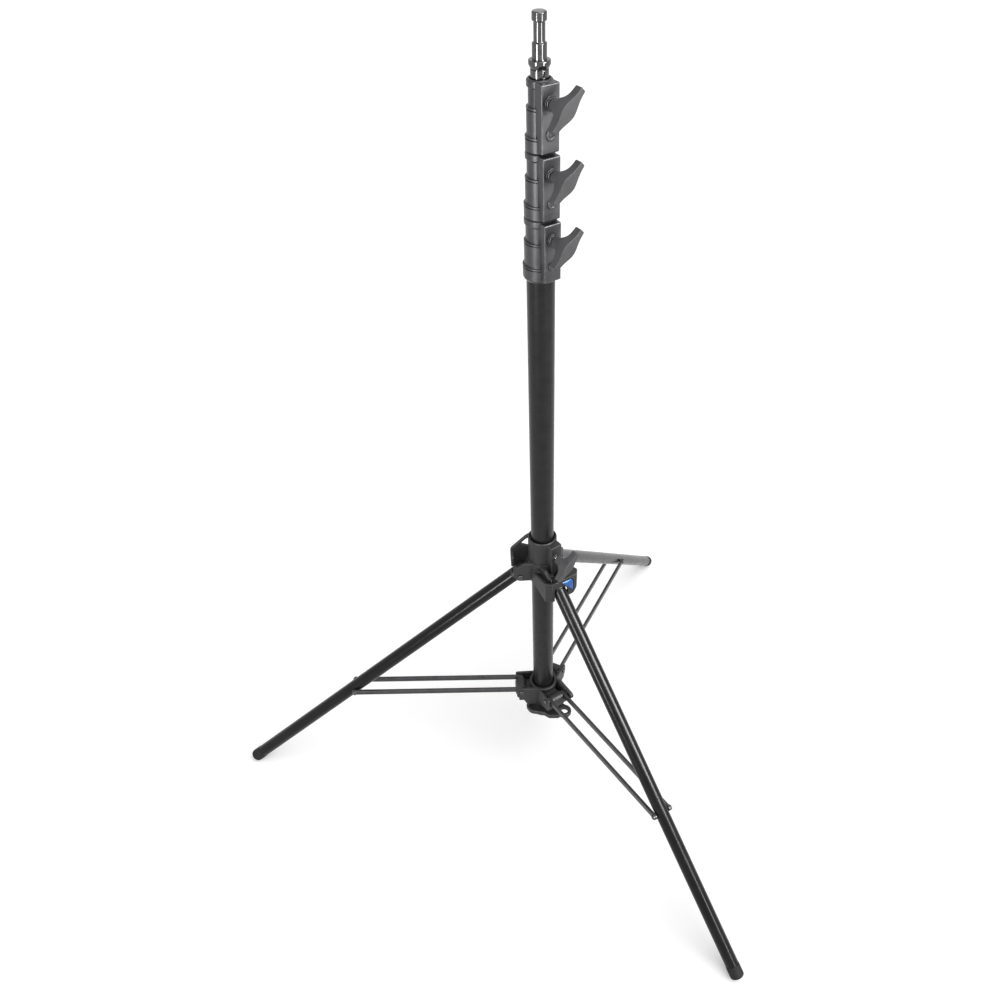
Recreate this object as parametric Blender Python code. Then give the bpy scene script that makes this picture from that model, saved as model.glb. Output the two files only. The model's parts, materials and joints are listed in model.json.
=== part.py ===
# Four section lighting stand: a base tube and three risers, three clamp collars, a sliding leg hub,
# a fixed brace hub, three legs and three pairs of brace bars. Metres, +Z up, floor at z = 0.
import bpy
import bmesh
import math
from mathutils import Matrix, Vector

MM = 0.001

# Whole stand
TOTAL_HEIGHT = 1242 * MM
FIT = 0.15 * MM
SLIDE_GAP = 0.35 * MM
TURN_GAP = 0.3 * MM
ROUND = 30
LEG_ROUND = 20
SMALL_ROUND = 10

# Directions seen from above, in degrees
LEG_AZIMUTHS = {"left": 180.0, "front": -60.0, "rear": 60.0}
CLAMP_AZIMUTH = -60.0
HUB_CLAMP_AZIMUTH = -54.0
WING_ANGLE = -45.0

# Tubes
BASE_R = 17.5 * MM
TUBE_STEP = 2.5 * MM
TUBE_WALL = 1.5 * MM
RISER_R = (BASE_R - TUBE_STEP, BASE_R - 2 * TUBE_STEP, BASE_R - 3 * TUBE_STEP)
BASE_BOTTOM = 114 * MM
RISER_BOTTOM = (132 * MM, 158 * MM, 184 * MM)
GLIDE_HEIGHT = 18 * MM
PLUG_DEPTH = 12 * MM

# Top stud for a lamp head
STUD_R = 7.94 * MM
STUD_NECK_R = 6.2 * MM
STUD_FLANGE_R = 12.0 * MM
STUD_HEAD = 8.2 * MM
STUD_NECK = 20.0 * MM
STUD_SHAFT = 15.0 * MM
STUD_FLANGE = 4.2 * MM
STUD_TAPER = 4.6 * MM
STUD_SPIGOT = 32 * MM
STUD_CHAMFER = 1.0 * MM

# Clamp collars
TUBE_SHOWING = 8.2 * MM
COLLAR_HEIGHT = 71.5 * MM
COLLAR_GAP = 0.8 * MM
LIP_HEIGHT = 7.5 * MM
NARROW_END = 27.0 * MM
MID_END = 56.0 * MM
LIP_OUT = 4.4 * MM
NARROW_OUT = 2.6 * MM
MID_OUT = 4.8 * MM
LOW_OUT = 6.6 * MM
TUBE_SEAT = 29.0 * MM
BLOCK_OUT = 11.0 * MM
BLOCK_HALF = 11.5 * MM
BLOCK_TRIM = 1.2 * MM
SCREW_DOWN = 20.0 * MM
SEAT_R = 8.2 * MM
SEAT_OUT = 1.6 * MM
BOSS_DOWN = 51.0 * MM
BOSS_R = 6.6 * MM
BOSS_OUT = 1.5 * MM
BOSS_HOLE_R = 1.8 * MM
LAST_TAPER = 3.5 * MM

# Clamp screws, pads and wing knobs
SCREW_R = 3.0 * MM
PAD_R = 4.3 * MM
PAD_LENGTH = 4.0 * MM
PAD_ROOM = 2.4 * MM
WING_START = 3.2 * MM
WING_REACH = 28.0 * MM
WING_HALF = 28.5 * MM
WING_TIP_HALF = 5.2 * MM
WING_MID_HALF = 9.2 * MM
WING_TIP_THICK = 9.0 * MM
WING_HUB_R = 7.6 * MM
SCREW_IN_WING = 12.0 * MM

# Leg hub, sliding on the base tube
HUB_TOP = 541 * MM
HUB_BOTTOM = 455 * MM
HUB_R = 22.2 * MM
HUB_BORE_R = 19.2 * MM
LINER_TRIM = 3.0 * MM
HUB_BLOCK_OUT = 31.0 * MM
HUB_BLOCK_NEAR = 8.0 * MM
HUB_BLOCK_FAR = 13.0 * MM
HUB_BLOCK_TOP = 537 * MM
HUB_BLOCK_BOTTOM = 482 * MM
HUB_SCREW_Z = 517 * MM
LEDGE_Z = 497 * MM
LEDGE_OUT = 2.2 * MM
LEDGE_HEIGHT = 13.0 * MM
INSIDE = 14 * MM
ARM_REACH = 46.0 * MM
ARM_IN = 11.5 * MM
ARM_WALL = 5.5 * MM
ARM_TOP = 497 * MM
ARM_END_TOP = 484 * MM
ARM_BOTTOM = 461 * MM
ARM_CHAMFER = 5.0 * MM
PLATE = 4.5 * MM
PLATE_BOTTOM = 478 * MM
POST_OUT = 4.0 * MM
POST_TOP = 504 * MM
POST_NEAR = 1.5 * MM
STRAP_TOP = 537 * MM
STRAP_HEIGHT = 5.5 * MM
STRAP_BEND = 24 * MM
GAP_LOW = 508.5 * MM
GAP_REACH = 32 * MM
FRONT_OUT = 8.0 * MM
FRONT_TOP = 487 * MM
FRONT_BOTTOM = 447.5 * MM
FRONT_ARCH = 473.5 * MM
SKIRT_OUT = 26.0 * MM
SKIRT_BOTTOM = 456 * MM
SKIRT_TOP = 485 * MM
HOUSING_OUT = 29.0 * MM
HOUSING_SIDE = 36.0 * MM
HOUSING_BOTTOM = 458 * MM
BADGE_THICK = 1.6 * MM
BADGE_BED = 0.8 * MM
BADGE_TOP = 482 * MM
BADGE_LEFT = -1.5 * MM
BADGE_WIDE = 21.5 * MM
BADGE_TALL = 26.5 * MM

# Legs
LEG_R = 11.0 * MM
LEG_WALL = 1.5 * MM
PIVOT_INSET = 10.0 * MM
PIVOT_REACH = ARM_REACH - PIVOT_INSET
PIVOT_Z = 469.4 * MM
FOOT_REACH = 554.0 * MM
FOOT_Z = 6.2 * MM
PIVOT_PIN_R = 2.5 * MM
KNUCKLE_R = 9.0 * MM
KNUCKLE_HALF = 10.6 * MM
LEG_START = 13.0 * MM
KNUCKLE_SPIGOT = 24.0 * MM
FOOT_LENGTH = 22.0 * MM
FOOT_PLUG = 20.0 * MM
FOOT_CHAMFER = 3.0 * MM
PIN_HEAD_R = 4.2 * MM
PIN_HEAD = 2.2 * MM

# Brace hub at the foot of the base tube
LOW_TOP = 190 * MM
LOW_BOTTOM = 108 * MM
LOW_R = 23.5 * MM
RIM_GAP = 2.6 * MM
RIM_DEPTH = 4.0 * MM
LOW_ARM_REACH = 51.0 * MM
LOW_PIVOT_INSET = 11.0 * MM
BRACE_REACH = LOW_ARM_REACH - LOW_PIVOT_INSET
BRACE_Z = 182.0 * MM
LOW_ARM_TOP = 190 * MM
LOW_ARM_BOTTOM = 166 * MM
CORE_TOP = 179 * MM
LOW_WEB = 8.0 * MM
CHEEK_WALL = 4.2 * MM
PAD_BLOCK_OUT = 25.0 * MM
PAD_BLOCK_OVER = 11.0 * MM
PAD_BLOCK_REACH = LOW_ARM_REACH + PAD_BLOCK_OVER
PAD_BLOCK_TOP = 193 * MM
FLANGE_Z = 130 * MM
FLANGE_THICK = 9.0 * MM
FLANGE_LEFT = 32.0 * MM
FLANGE_FRONT = 37.0 * MM
FLANGE_TOE = 46.0 * MM
FLANGE_RIGHT = 27.0 * MM
GUSSET_INSET = 4.0 * MM
GUSSET_REACH = LOW_ARM_REACH - GUSSET_INSET
GUSSET_FOOT = 30.0 * MM
LOOP_AZIMUTH = -43.0
LOOP_REACH = 49.0 * MM
LOOP_R = 13.0 * MM
LOOP_HOLE_R = 7.5 * MM

# Brace bars
BRACE_ON_LEG = 336.0 * MM
BAR_HALF = 4.75 * MM
BAR_THICK = 5.0 * MM
BAR_INNER = LEG_R + 0.8 * MM
RIVET_R = 2.5 * MM

for old in list(bpy.data.objects):
    bpy.data.objects.remove(old, do_unlink=True)


def material(name, colour, roughness, metallic):
    made = bpy.data.materials.new(name)
    made.use_nodes = True
    shader = made.node_tree.nodes["Principled BSDF"]
    shader.inputs["Base Color"].default_value = (*colour, 1.0)
    shader.inputs["Roughness"].default_value = roughness
    shader.inputs["Metallic"].default_value = metallic
    return made


def empty(name, parent, location=(0, 0, 0), rotation=(0, 0, 0)):
    made = bpy.data.objects.new(name, None)
    bpy.context.scene.collection.objects.link(made)
    made.parent = parent
    made.location = location
    made.rotation_euler = rotation
    return made


def tidy(work):
    bmesh.ops.remove_doubles(work, verts=work.verts, dist=1e-7)
    bmesh.ops.dissolve_degenerate(work, edges=work.edges, dist=1e-7)
    bmesh.ops.recalc_face_normals(work, faces=work.faces)
    return work


def lathe(profile, count, closed=True):
    # Turns (radius, height) points about Z. Open profiles start and end on the axis.
    work = bmesh.new()
    rings = []
    for radius, height in profile:
        if radius < 1e-9:
            rings.append([work.verts.new((0, 0, height))])
            continue
        ring = []
        for step in range(count):
            angle = 2 * math.pi * step / count
            ring.append(work.verts.new((radius * math.cos(angle), radius * math.sin(angle), height)))
        rings.append(ring)
    pairs = list(zip(rings, rings[1:]))
    if closed:
        pairs.append((rings[-1], rings[0]))
    for low, high in pairs:
        for step in range(count):
            after = (step + 1) % count
            if len(low) == 1 and len(high) == 1:
                continue
            if len(low) == 1:
                work.faces.new((low[0], high[after], high[step]))
            elif len(high) == 1:
                work.faces.new((low[step], low[after], high[0]))
            else:
                work.faces.new((low[step], low[after], high[after], high[step]))
    return tidy(work)


def prism(outline, start, end):
    # Outline in X and Z, pushed along Y from start to end.
    work = bmesh.new()
    near = [work.verts.new((x, start, z)) for x, z in outline]
    far = [work.verts.new((x, end, z)) for x, z in outline]
    work.faces.new(near)
    work.faces.new(list(reversed(far)))
    for step in range(len(outline)):
        after = (step + 1) % len(outline)
        work.faces.new((near[step], far[step], far[after], near[after]))
    return tidy(work)


def box(x0, x1, y0, y1, z0, z1):
    return prism([(x0, z0), (x1, z0), (x1, z1), (x0, z1)], y0, y1)


def cross_plate(outline, start, end):
    # Outline in Y and Z, pushed along X from start to end.
    swap = Matrix(((0, 1, 0, 0), (1, 0, 0, 0), (0, 0, 1, 0), (0, 0, 0, 1)))
    return tidy(moved(prism(outline, start, end), swap))


def flat_plate(outline, low, high):
    # Outline in X and Y, pushed up from low to high.
    swap = Matrix(((1, 0, 0, 0), (0, 0, 1, 0), (0, 1, 0, 0), (0, 0, 0, 1)))
    return tidy(moved(prism(outline, low, high), swap))


def moved(work, matrix):
    bmesh.ops.transform(work, matrix=matrix, verts=work.verts)
    return work


def turned(work, azimuth):
    return moved(work, Matrix.Rotation(math.radians(azimuth), 4, "Z"))


def along_x(work, x, y, z):
    return moved(work, Matrix.Translation((x, y, z)) @ Matrix.Rotation(math.radians(90), 4, "Y"))


def along_y(work, x, y, z):
    return moved(work, Matrix.Translation((x, y, z)) @ Matrix.Rotation(math.radians(-90), 4, "X"))


def rod(radius, length, count):
    return lathe([(0, 0), (radius, 0), (radius, length), (0, length)], count, closed=False)


def raw_object(name, work):
    mesh = bpy.data.meshes.new(name)
    work.to_mesh(mesh)
    work.free()
    made = bpy.data.objects.new(name, mesh)
    bpy.context.scene.collection.objects.link(made)
    return made


def shaped(base, steps):
    # Applies unions, cuts and crossings one after the other and returns the result.
    work = base
    for way, other in steps:
        first = raw_object("first", work)
        second = raw_object("second", other)
        change = first.modifiers.new("change", "BOOLEAN")
        change.operation = way
        change.solver = "EXACT"
        change.object = second
        bpy.context.view_layer.update()
        graph = bpy.context.evaluated_depsgraph_get()
        result = bpy.data.meshes.new_from_object(first.evaluated_get(graph))
        work = bmesh.new()
        work.from_mesh(result)
        tidy(work)
        for spent in (first, second):
            mesh = spent.data
            bpy.data.objects.remove(spent, do_unlink=True)
            bpy.data.meshes.remove(mesh)
        bpy.data.meshes.remove(result)
    return work


def node(name, work, parent, finish):
    made = raw_object(name, work)
    made.data.materials.append(finish)
    made.parent = parent
    return made


black_tube = material("black_tube", (0.016, 0.016, 0.018), 0.3, 0.6)
black_chrome = material("black_chrome", (0.05, 0.05, 0.055), 0.12, 1.0)
grey_casting = material("grey_casting", (0.085, 0.085, 0.095), 0.42, 0.5)
dark_plastic = material("dark_plastic", (0.03, 0.03, 0.033), 0.5, 0.0)
knob_plastic = material("knob_plastic", (0.05, 0.05, 0.053), 0.55, 0.0)
steel = material("steel", (0.55, 0.55, 0.56), 0.3, 1.0)
brass = material("brass", (0.55, 0.4, 0.16), 0.4, 1.0)
white_nylon = material("white_nylon", (0.7, 0.7, 0.67), 0.5, 0.0)
rubber = material("rubber", (0.018, 0.018, 0.018), 0.75, 0.0)
blue_gloss = material("blue_gloss", (0.03, 0.16, 0.55), 0.18, 0.1)
bar_paint = material("bar_paint", (0.04, 0.04, 0.043), 0.38, 0.4)

stand = empty("stand", None)
column = empty("column", stand)
slides = [empty("riser_slide_1", column)]
slides.append(empty("riser_slide_2", slides[0]))
slides.append(empty("riser_slide_3", slides[1]))
hub_slide = empty("hub_slide", column)

# Heights of the collars: the upper one grips riser 3, the lower one sits on the base tube
stud_low = TOTAL_HEIGHT - STUD_HEAD - STUD_NECK - STUD_SHAFT - STUD_FLANGE - STUD_TAPER
upper_top = stud_low - TUBE_SHOWING
collar_tops = [upper_top - step * (COLLAR_HEIGHT + COLLAR_GAP) for step in (2, 1, 0)]


def tube(radius, wall, low, high, count):
    inner = radius - wall
    return lathe([(radius, low), (radius, high), (inner, high), (inner, low)], count)


# Base tube and the plug that closes its foot
base_top = collar_tops[0] - TUBE_SEAT - FIT
node("base_tube", tube(BASE_R, TUBE_WALL, BASE_BOTTOM, base_top, ROUND), column, black_tube)
plug_r = BASE_R - TUBE_WALL - FIT
plug_low = LOW_BOTTOM + 1 * MM
plug = lathe([(0, plug_low), (BASE_R, plug_low), (BASE_R, BASE_BOTTOM - FIT), (plug_r, BASE_BOTTOM - FIT),
              (plug_r, BASE_BOTTOM + PLUG_DEPTH), (0, BASE_BOTTOM + PLUG_DEPTH)], ROUND, closed=False)
node("base_plug", plug, column, dark_plastic)

# Risers, each with a nylon glide at its foot
outer_inner = (BASE_R - TUBE_WALL, RISER_R[0] - TUBE_WALL, RISER_R[1] - TUBE_WALL)
riser_tops = (collar_tops[1] - TUBE_SEAT - FIT, collar_tops[2] - TUBE_SEAT - FIT, stud_low - FIT)
for index in range(3):
    radius = RISER_R[index]
    low = RISER_BOTTOM[index]
    name = "riser_tube_%d" % (index + 1)
    node(name, tube(radius, TUBE_WALL, low, riser_tops[index], ROUND), slides[index], black_tube)
    reach = outer_inner[index] - SLIDE_GAP
    hole = radius - TUBE_WALL - 1.2 * MM
    glide = lathe([(hole, low - 4 * MM), (reach, low - 4 * MM), (reach, low + GLIDE_HEIGHT),
                   (radius + FIT, low + GLIDE_HEIGHT), (radius + FIT, low - FIT), (hole, low - FIT)], ROUND)
    node("riser_glide_%d" % (index + 1), glide, slides[index], white_nylon)

# Top stud
stud_steps = [(0, TOTAL_HEIGHT)]
level = TOTAL_HEIGHT
stud_steps.append((STUD_R - STUD_CHAMFER, level))
stud_steps.append((STUD_R, level - STUD_CHAMFER))
level -= STUD_HEAD
stud_steps.append((STUD_R, level))
stud_steps.append((STUD_NECK_R, level - STUD_CHAMFER))
level -= STUD_NECK
stud_steps.append((STUD_NECK_R, level + STUD_CHAMFER))
stud_steps.append((STUD_R, level))
level -= STUD_SHAFT
stud_steps.append((STUD_R, level))
stud_steps.append((STUD_FLANGE_R, level))
level -= STUD_FLANGE
stud_steps.append((STUD_FLANGE_R, level))
level -= STUD_TAPER
stud_steps.append((RISER_R[2], level))
spigot_r = RISER_R[2] - TUBE_WALL - FIT
stud_steps.append((spigot_r, level))
stud_steps.append((spigot_r, level - STUD_SPIGOT))
stud_steps.append((0, level - STUD_SPIGOT))
node("top_stud", lathe(stud_steps, ROUND, closed=False), slides[2], black_chrome)


def collar(top, inner_r, outer_r, last):
    low = top - COLLAR_HEIGHT
    shape = [(0, top), (inner_r + LIP_OUT - 0.8 * MM, top), (inner_r + LIP_OUT, top - 0.8 * MM),
             (inner_r + LIP_OUT, top - LIP_HEIGHT), (inner_r + NARROW_OUT, top - LIP_HEIGHT - 0.8 * MM),
             (inner_r + NARROW_OUT, top - NARROW_END), (inner_r + MID_OUT, top - NARROW_END),
             (inner_r + MID_OUT, top - MID_END), (inner_r + LOW_OUT, top - MID_END),
             (inner_r + LOW_OUT, low)]
    if last:
        shape.append((outer_r + 1.5 * MM, low - LAST_TAPER))
        low -= LAST_TAPER
    shape.append((0, low))
    over = 1 * MM
    bore = [(0, top + over), (inner_r + SLIDE_GAP, top + over), (inner_r + SLIDE_GAP, top - TUBE_SEAT),
            (outer_r + FIT, top - TUBE_SEAT), (outer_r + FIT, low - over), (0, low - over)]
    face = inner_r + BLOCK_OUT
    screw = top - SCREW_DOWN
    boss = top - BOSS_DOWN
    block = box(inner_r - 3 * MM, face, -BLOCK_HALF, BLOCK_HALF, top - COLLAR_HEIGHT + BLOCK_TRIM,
                top - BLOCK_TRIM)
    pocket = 3 * MM + PAD_LENGTH + PAD_ROOM + SLIDE_GAP
    return shaped(lathe(shape, ROUND, closed=False), [
        ("UNION", block),
        ("UNION", along_x(rod(SEAT_R, 3 * MM + SEAT_OUT, LEG_ROUND), face - 3 * MM, 0, screw)),
        ("UNION", along_x(rod(BOSS_R, 3 * MM + BOSS_OUT, LEG_ROUND), face - 3 * MM, 0, boss)),
        ("DIFFERENCE", lathe(bore, ROUND, closed=False)),
        ("DIFFERENCE", along_x(rod(SCREW_R + TURN_GAP, 40 * MM, SMALL_ROUND), inner_r - 3 * MM, 0, screw)),
        ("DIFFERENCE", along_x(rod(PAD_R + TURN_GAP, pocket, SMALL_ROUND), inner_r - 3 * MM, 0, screw)),
        ("DIFFERENCE", along_x(rod(BOSS_HOLE_R, 4 * MM, SMALL_ROUND), face - 1 * MM, 0, boss))])


def wing():
    # Double wing along Z with its turning axis on X, starting at the hub face.
    start = 0.0
    reach = WING_REACH
    back = reach - WING_TIP_THICK
    side = [(start, -WING_HUB_R), (start, WING_HUB_R)]
    rise = [(0.25, 0.0), (0.48, 0.06), (0.72, 0.2), (0.9, 0.5), (1.0, 1.0)]
    curve = [(start + share * back, WING_HUB_R + spread * (WING_HALF - WING_HUB_R)) for share, spread in rise]
    front = [(reach, WING_HALF - 0.6 * MM), (reach - 1.2 * MM, 0), (reach, 0.6 * MM - WING_HALF)]
    side += curve + front + [(x, -z) for x, z in reversed(curve)]
    plan = []
    for z, half in ((1.0, WING_TIP_HALF), (0.72, WING_TIP_HALF + 0.5 * MM), (0.38, WING_MID_HALF - 1 * MM),
                    (0.16, WING_MID_HALF)):
        plan.append((z * WING_HALF, half))
    outline = [(z, half) for z, half in plan] + [(-z, half) for z, half in reversed(plan)]
    outline += [(-z, -half) for z, half in plan] + [(z, -half) for z, half in reversed(plan)]
    thick = prism([(half, z) for z, half in outline], -5 * MM, reach + 5 * MM)
    moved(thick, Matrix.Rotation(math.radians(-90), 4, "Z"))
    body = prism(side, -20 * MM, 20 * MM)
    return shaped(body, [("INTERSECT", thick),
                         ("DIFFERENCE", along_x(rod(SCREW_R + FIT, SCREW_IN_WING + 2 * MM, SMALL_ROUND),
                                                -2 * MM, 0, 0))])


def clamp(tag, parent, azimuth, height, tube_r, face):
    # Pad, screw and wing on one axis. The pad slides on the axis and carries the turning screw.
    angle = math.radians(azimuth)
    slide = empty("pad_slide_" + tag, parent, (0, 0, height), (0, 0, angle))
    pad_start = tube_r + SLIDE_GAP
    pad = along_x(rod(PAD_R, PAD_LENGTH, SMALL_ROUND), pad_start, 0, 0)
    node("pad_" + tag, pad, slide, brass)
    turn = empty("knob_turn_" + tag, slide, (0, 0, 0), (math.radians(WING_ANGLE), 0, 0))
    wing_at = face + SEAT_OUT + WING_START
    screw_start = pad_start + PAD_LENGTH + FIT
    screw = along_x(rod(SCREW_R, wing_at + SCREW_IN_WING - FIT - screw_start, SMALL_ROUND), screw_start, 0, 0)
    node("screw_" + tag, screw, turn, steel)
    node("knob_" + tag, moved(wing(), Matrix.Translation((wing_at, 0, 0))), turn, knob_plastic)


# Collars and their clamps
collar_holders = (column, slides[0], slides[1])
collar_outer = (BASE_R, RISER_R[0], RISER_R[1])
for index, tag in enumerate(("lower", "middle", "upper")):
    top = collar_tops[index]
    inner = RISER_R[index]
    made = turned(collar(top, inner, collar_outer[index], index == 0), CLAMP_AZIMUTH)
    node("collar_" + tag, made, collar_holders[index], grey_casting)
    clamp(tag, collar_holders[index], CLAMP_AZIMUTH, top - SCREW_DOWN, inner, inner + BLOCK_OUT)

# Leg hub with its liner and clamp
ledge_r = HUB_R + LEDGE_OUT
ledge_low = LEDGE_Z - LEDGE_HEIGHT
hub = lathe([(0, HUB_BOTTOM), (HUB_R, HUB_BOTTOM), (HUB_R, ledge_low - LEDGE_OUT), (ledge_r, ledge_low),
             (ledge_r, LEDGE_Z), (HUB_R, LEDGE_Z), (HUB_R, HUB_TOP - 1 * MM), (HUB_R - 1 * MM, HUB_TOP),
             (0, HUB_TOP)], ROUND, closed=False)
arm_out = ARM_IN + ARM_WALL
arm_middle = ARM_REACH - PIVOT_INSET - 6 * MM
wall_side = [(INSIDE, ARM_BOTTOM), (ARM_REACH - 6 * MM, ARM_BOTTOM), (ARM_REACH, ARM_BOTTOM + 6 * MM),
             (ARM_REACH, ARM_END_TOP), (arm_middle, ARM_TOP), (INSIDE, ARM_TOP)]
over = 1 * MM
wall_plan = [(0, ARM_IN - 2 * MM), (ARM_REACH + over, ARM_IN - 2 * MM),
             (ARM_REACH + over, arm_out - ARM_CHAMFER - over),
             (ARM_REACH - ARM_CHAMFER - over, arm_out + over), (0, arm_out + over)]


def arm_wall(side):
    # One cheek of an arm with its outer corner cut off.
    cheek = shaped(prism(wall_side, ARM_IN, arm_out), [("INTERSECT", flat_plate(wall_plan, 0, HUB_TOP))])
    return cheek if side > 0 else tidy(moved(cheek, Matrix.Scale(-1, 4, (0, 1, 0))))


hub_steps = []
for tag, azimuth in LEG_AZIMUTHS.items():
    hub_steps.append(("UNION", turned(arm_wall(1), azimuth)))
    if tag != "left":
        hub_steps.append(("UNION", turned(arm_wall(-1), azimuth)))

# The left arm's far cheek rises to a strap with a gap under it, and a plate closes its end
post = ARM_REACH + POST_OUT
strap_low = STRAP_TOP - STRAP_HEIGHT
strap = [(INSIDE, ARM_BOTTOM), (ARM_REACH - 6 * MM, ARM_BOTTOM), (ARM_REACH, ARM_BOTTOM + 6 * MM),
         (post, PLATE_BOTTOM), (post, POST_TOP), (STRAP_BEND, strap_low), (INSIDE - 2 * MM, STRAP_TOP),
         (INSIDE - 2 * MM, strap_low), (STRAP_BEND, strap_low - STRAP_HEIGHT), (GAP_REACH, GAP_LOW + 9 * MM),
         (GAP_REACH, GAP_LOW + 4.5 * MM), (GAP_REACH - 12 * MM, GAP_LOW), (INSIDE, GAP_LOW)]
hub_steps.append(("UNION", turned(prism(strap, -arm_out, -ARM_IN), LEG_AZIMUTHS["left"])))
post_plate = [(-arm_out + 1 * MM, PLATE_BOTTOM), (POST_NEAR, PLATE_BOTTOM), (POST_NEAR, ARM_TOP),
              (-arm_out + 1 * MM, POST_TOP)]
hub_steps.append(("UNION", turned(cross_plate(post_plate, post - PLATE, post), LEG_AZIMUTHS["left"])))

# The front arm carries a wide apron: a skirt on the near side, an end plate over the leg, a badge housing
front = ARM_REACH + FRONT_OUT
front_back = front - PLATE
skirt_in = SKIRT_OUT - PLATE
skirt = [(-2 * MM, -SKIRT_OUT), (ARM_REACH, -SKIRT_OUT), (front, -arm_out), (front, PLATE - arm_out),
         (front_back, PLATE - arm_out), (ARM_REACH - 1.5 * MM, -skirt_in), (-2 * MM, -skirt_in)]
hub_steps.append(("UNION", turned(flat_plate(skirt, SKIRT_BOTTOM, SKIRT_TOP), LEG_AZIMUTHS["front"])))
leg_side = LEG_R + 1.2 * MM
end_plate = [(-arm_out, FRONT_TOP), (-arm_out, FRONT_ARCH), (3 * MM, FRONT_ARCH),
             (8 * MM, FRONT_ARCH - 4 * MM), (leg_side, FRONT_ARCH - 11 * MM), (leg_side, FRONT_BOTTOM),
             (HOUSING_OUT - 6 * MM, FRONT_BOTTOM), (HOUSING_OUT, HOUSING_BOTTOM), (HOUSING_OUT, FRONT_TOP)]
hub_steps.append(("UNION", turned(cross_plate(end_plate, front_back, front), LEG_AZIMUTHS["front"])))
housing = [(ARM_REACH - 18 * MM, arm_out - 1 * MM), (front - 1 * MM, arm_out - 1 * MM),
           (front - 1 * MM, HOUSING_OUT - 0.5 * MM), (front_back - 5 * MM, HOUSING_SIDE),
           (ARM_REACH - 10 * MM, HOUSING_SIDE - 3 * MM), (ARM_REACH - 18 * MM, HOUSING_OUT - 6 * MM)]
housing_made = flat_plate(housing, HOUSING_BOTTOM, FRONT_TOP - 1 * MM)
hub_steps.append(("UNION", turned(housing_made, LEG_AZIMUTHS["front"])))
hub_block = box(INSIDE, HUB_BLOCK_OUT, -HUB_BLOCK_NEAR, HUB_BLOCK_FAR, HUB_BLOCK_BOTTOM, HUB_BLOCK_TOP)
hub_steps.append(("UNION", turned(hub_block, HUB_CLAMP_AZIMUTH)))
hub_seat = along_x(rod(SEAT_R - 1 * MM, 3 * MM + SEAT_OUT, LEG_ROUND), HUB_BLOCK_OUT - 3 * MM, 0, HUB_SCREW_Z)
hub_steps.append(("UNION", turned(hub_seat, HUB_CLAMP_AZIMUTH)))
bore_over = 40 * MM
hub_bore = rod(HUB_BORE_R, HUB_TOP - HUB_BOTTOM + 2 * bore_over, ROUND)
hub_steps.append(("DIFFERENCE", moved(hub_bore, Matrix.Translation((0, 0, HUB_BOTTOM - bore_over)))))
hub_hole = along_x(rod(SCREW_R + TURN_GAP, 40 * MM, SMALL_ROUND), 12 * MM, 0, HUB_SCREW_Z)
hub_steps.append(("DIFFERENCE", turned(hub_hole, HUB_CLAMP_AZIMUTH)))
hub_pocket_length = BASE_R + SLIDE_GAP + PAD_LENGTH + PAD_ROOM - 12 * MM
hub_pocket = along_x(rod(PAD_R + TURN_GAP, hub_pocket_length, SMALL_ROUND), 12 * MM, 0, HUB_SCREW_Z)
hub_steps.append(("DIFFERENCE", turned(hub_pocket, HUB_CLAMP_AZIMUTH)))
pin_room = 2 * (arm_out + FIT)
for azimuth in LEG_AZIMUTHS.values():
    hole = along_y(rod(PIVOT_PIN_R + FIT, pin_room, SMALL_ROUND), PIVOT_REACH, -pin_room / 2, PIVOT_Z)
    hub_steps.append(("DIFFERENCE", turned(hole, azimuth)))
head_room = rod(PIN_HEAD_R + 2 * FIT, HOUSING_SIDE + over - arm_out, SMALL_ROUND)
along_y(head_room, PIVOT_REACH, arm_out, PIVOT_Z)
hub_steps.append(("DIFFERENCE", turned(head_room, LEG_AZIMUTHS["front"])))
badge = [(BADGE_LEFT, BADGE_TOP), (BADGE_LEFT + BADGE_WIDE, BADGE_TOP),
         (BADGE_LEFT + BADGE_WIDE + 1.5 * MM, BADGE_TOP - BADGE_TALL)]


def badge_shape(grow, start, end):
    middle = Vector((sum(p[0] for p in badge) / 3, sum(p[1] for p in badge) / 3))
    outline = []
    for point in badge:
        away = Vector(point) - middle
        spot = middle + away * (1 + grow / away.length)
        outline.append((spot.x, spot.y))
    return cross_plate(outline, start, end)


bed = badge_shape(2 * FIT, front - BADGE_BED, front + 2 * MM)
hub_steps.append(("DIFFERENCE", turned(bed, LEG_AZIMUTHS["front"])))
node("leg_hub", shaped(hub, hub_steps), hub_slide, dark_plastic)
badge_start = front - BADGE_BED + FIT
badge_made = turned(badge_shape(0, badge_start, badge_start + BADGE_THICK), LEG_AZIMUTHS["front"])
node("hub_badge", badge_made, hub_slide, blue_gloss)

liner_steps = []
liner_in = BASE_R + SLIDE_GAP
liner_out = HUB_BORE_R - FIT
liner = tube(liner_out, liner_out - liner_in, HUB_BOTTOM + LINER_TRIM, HUB_TOP - LINER_TRIM, ROUND)
liner_hole = along_x(rod(PAD_R + TURN_GAP, 20 * MM, SMALL_ROUND), 12 * MM, 0, HUB_SCREW_Z)
liner_steps.append(("DIFFERENCE", turned(liner_hole, HUB_CLAMP_AZIMUTH)))
node("hub_liner", shaped(liner, liner_steps), hub_slide, dark_plastic)
clamp("hub", hub_slide, HUB_CLAMP_AZIMUTH, HUB_SCREW_Z, BASE_R, HUB_BLOCK_OUT)

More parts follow.
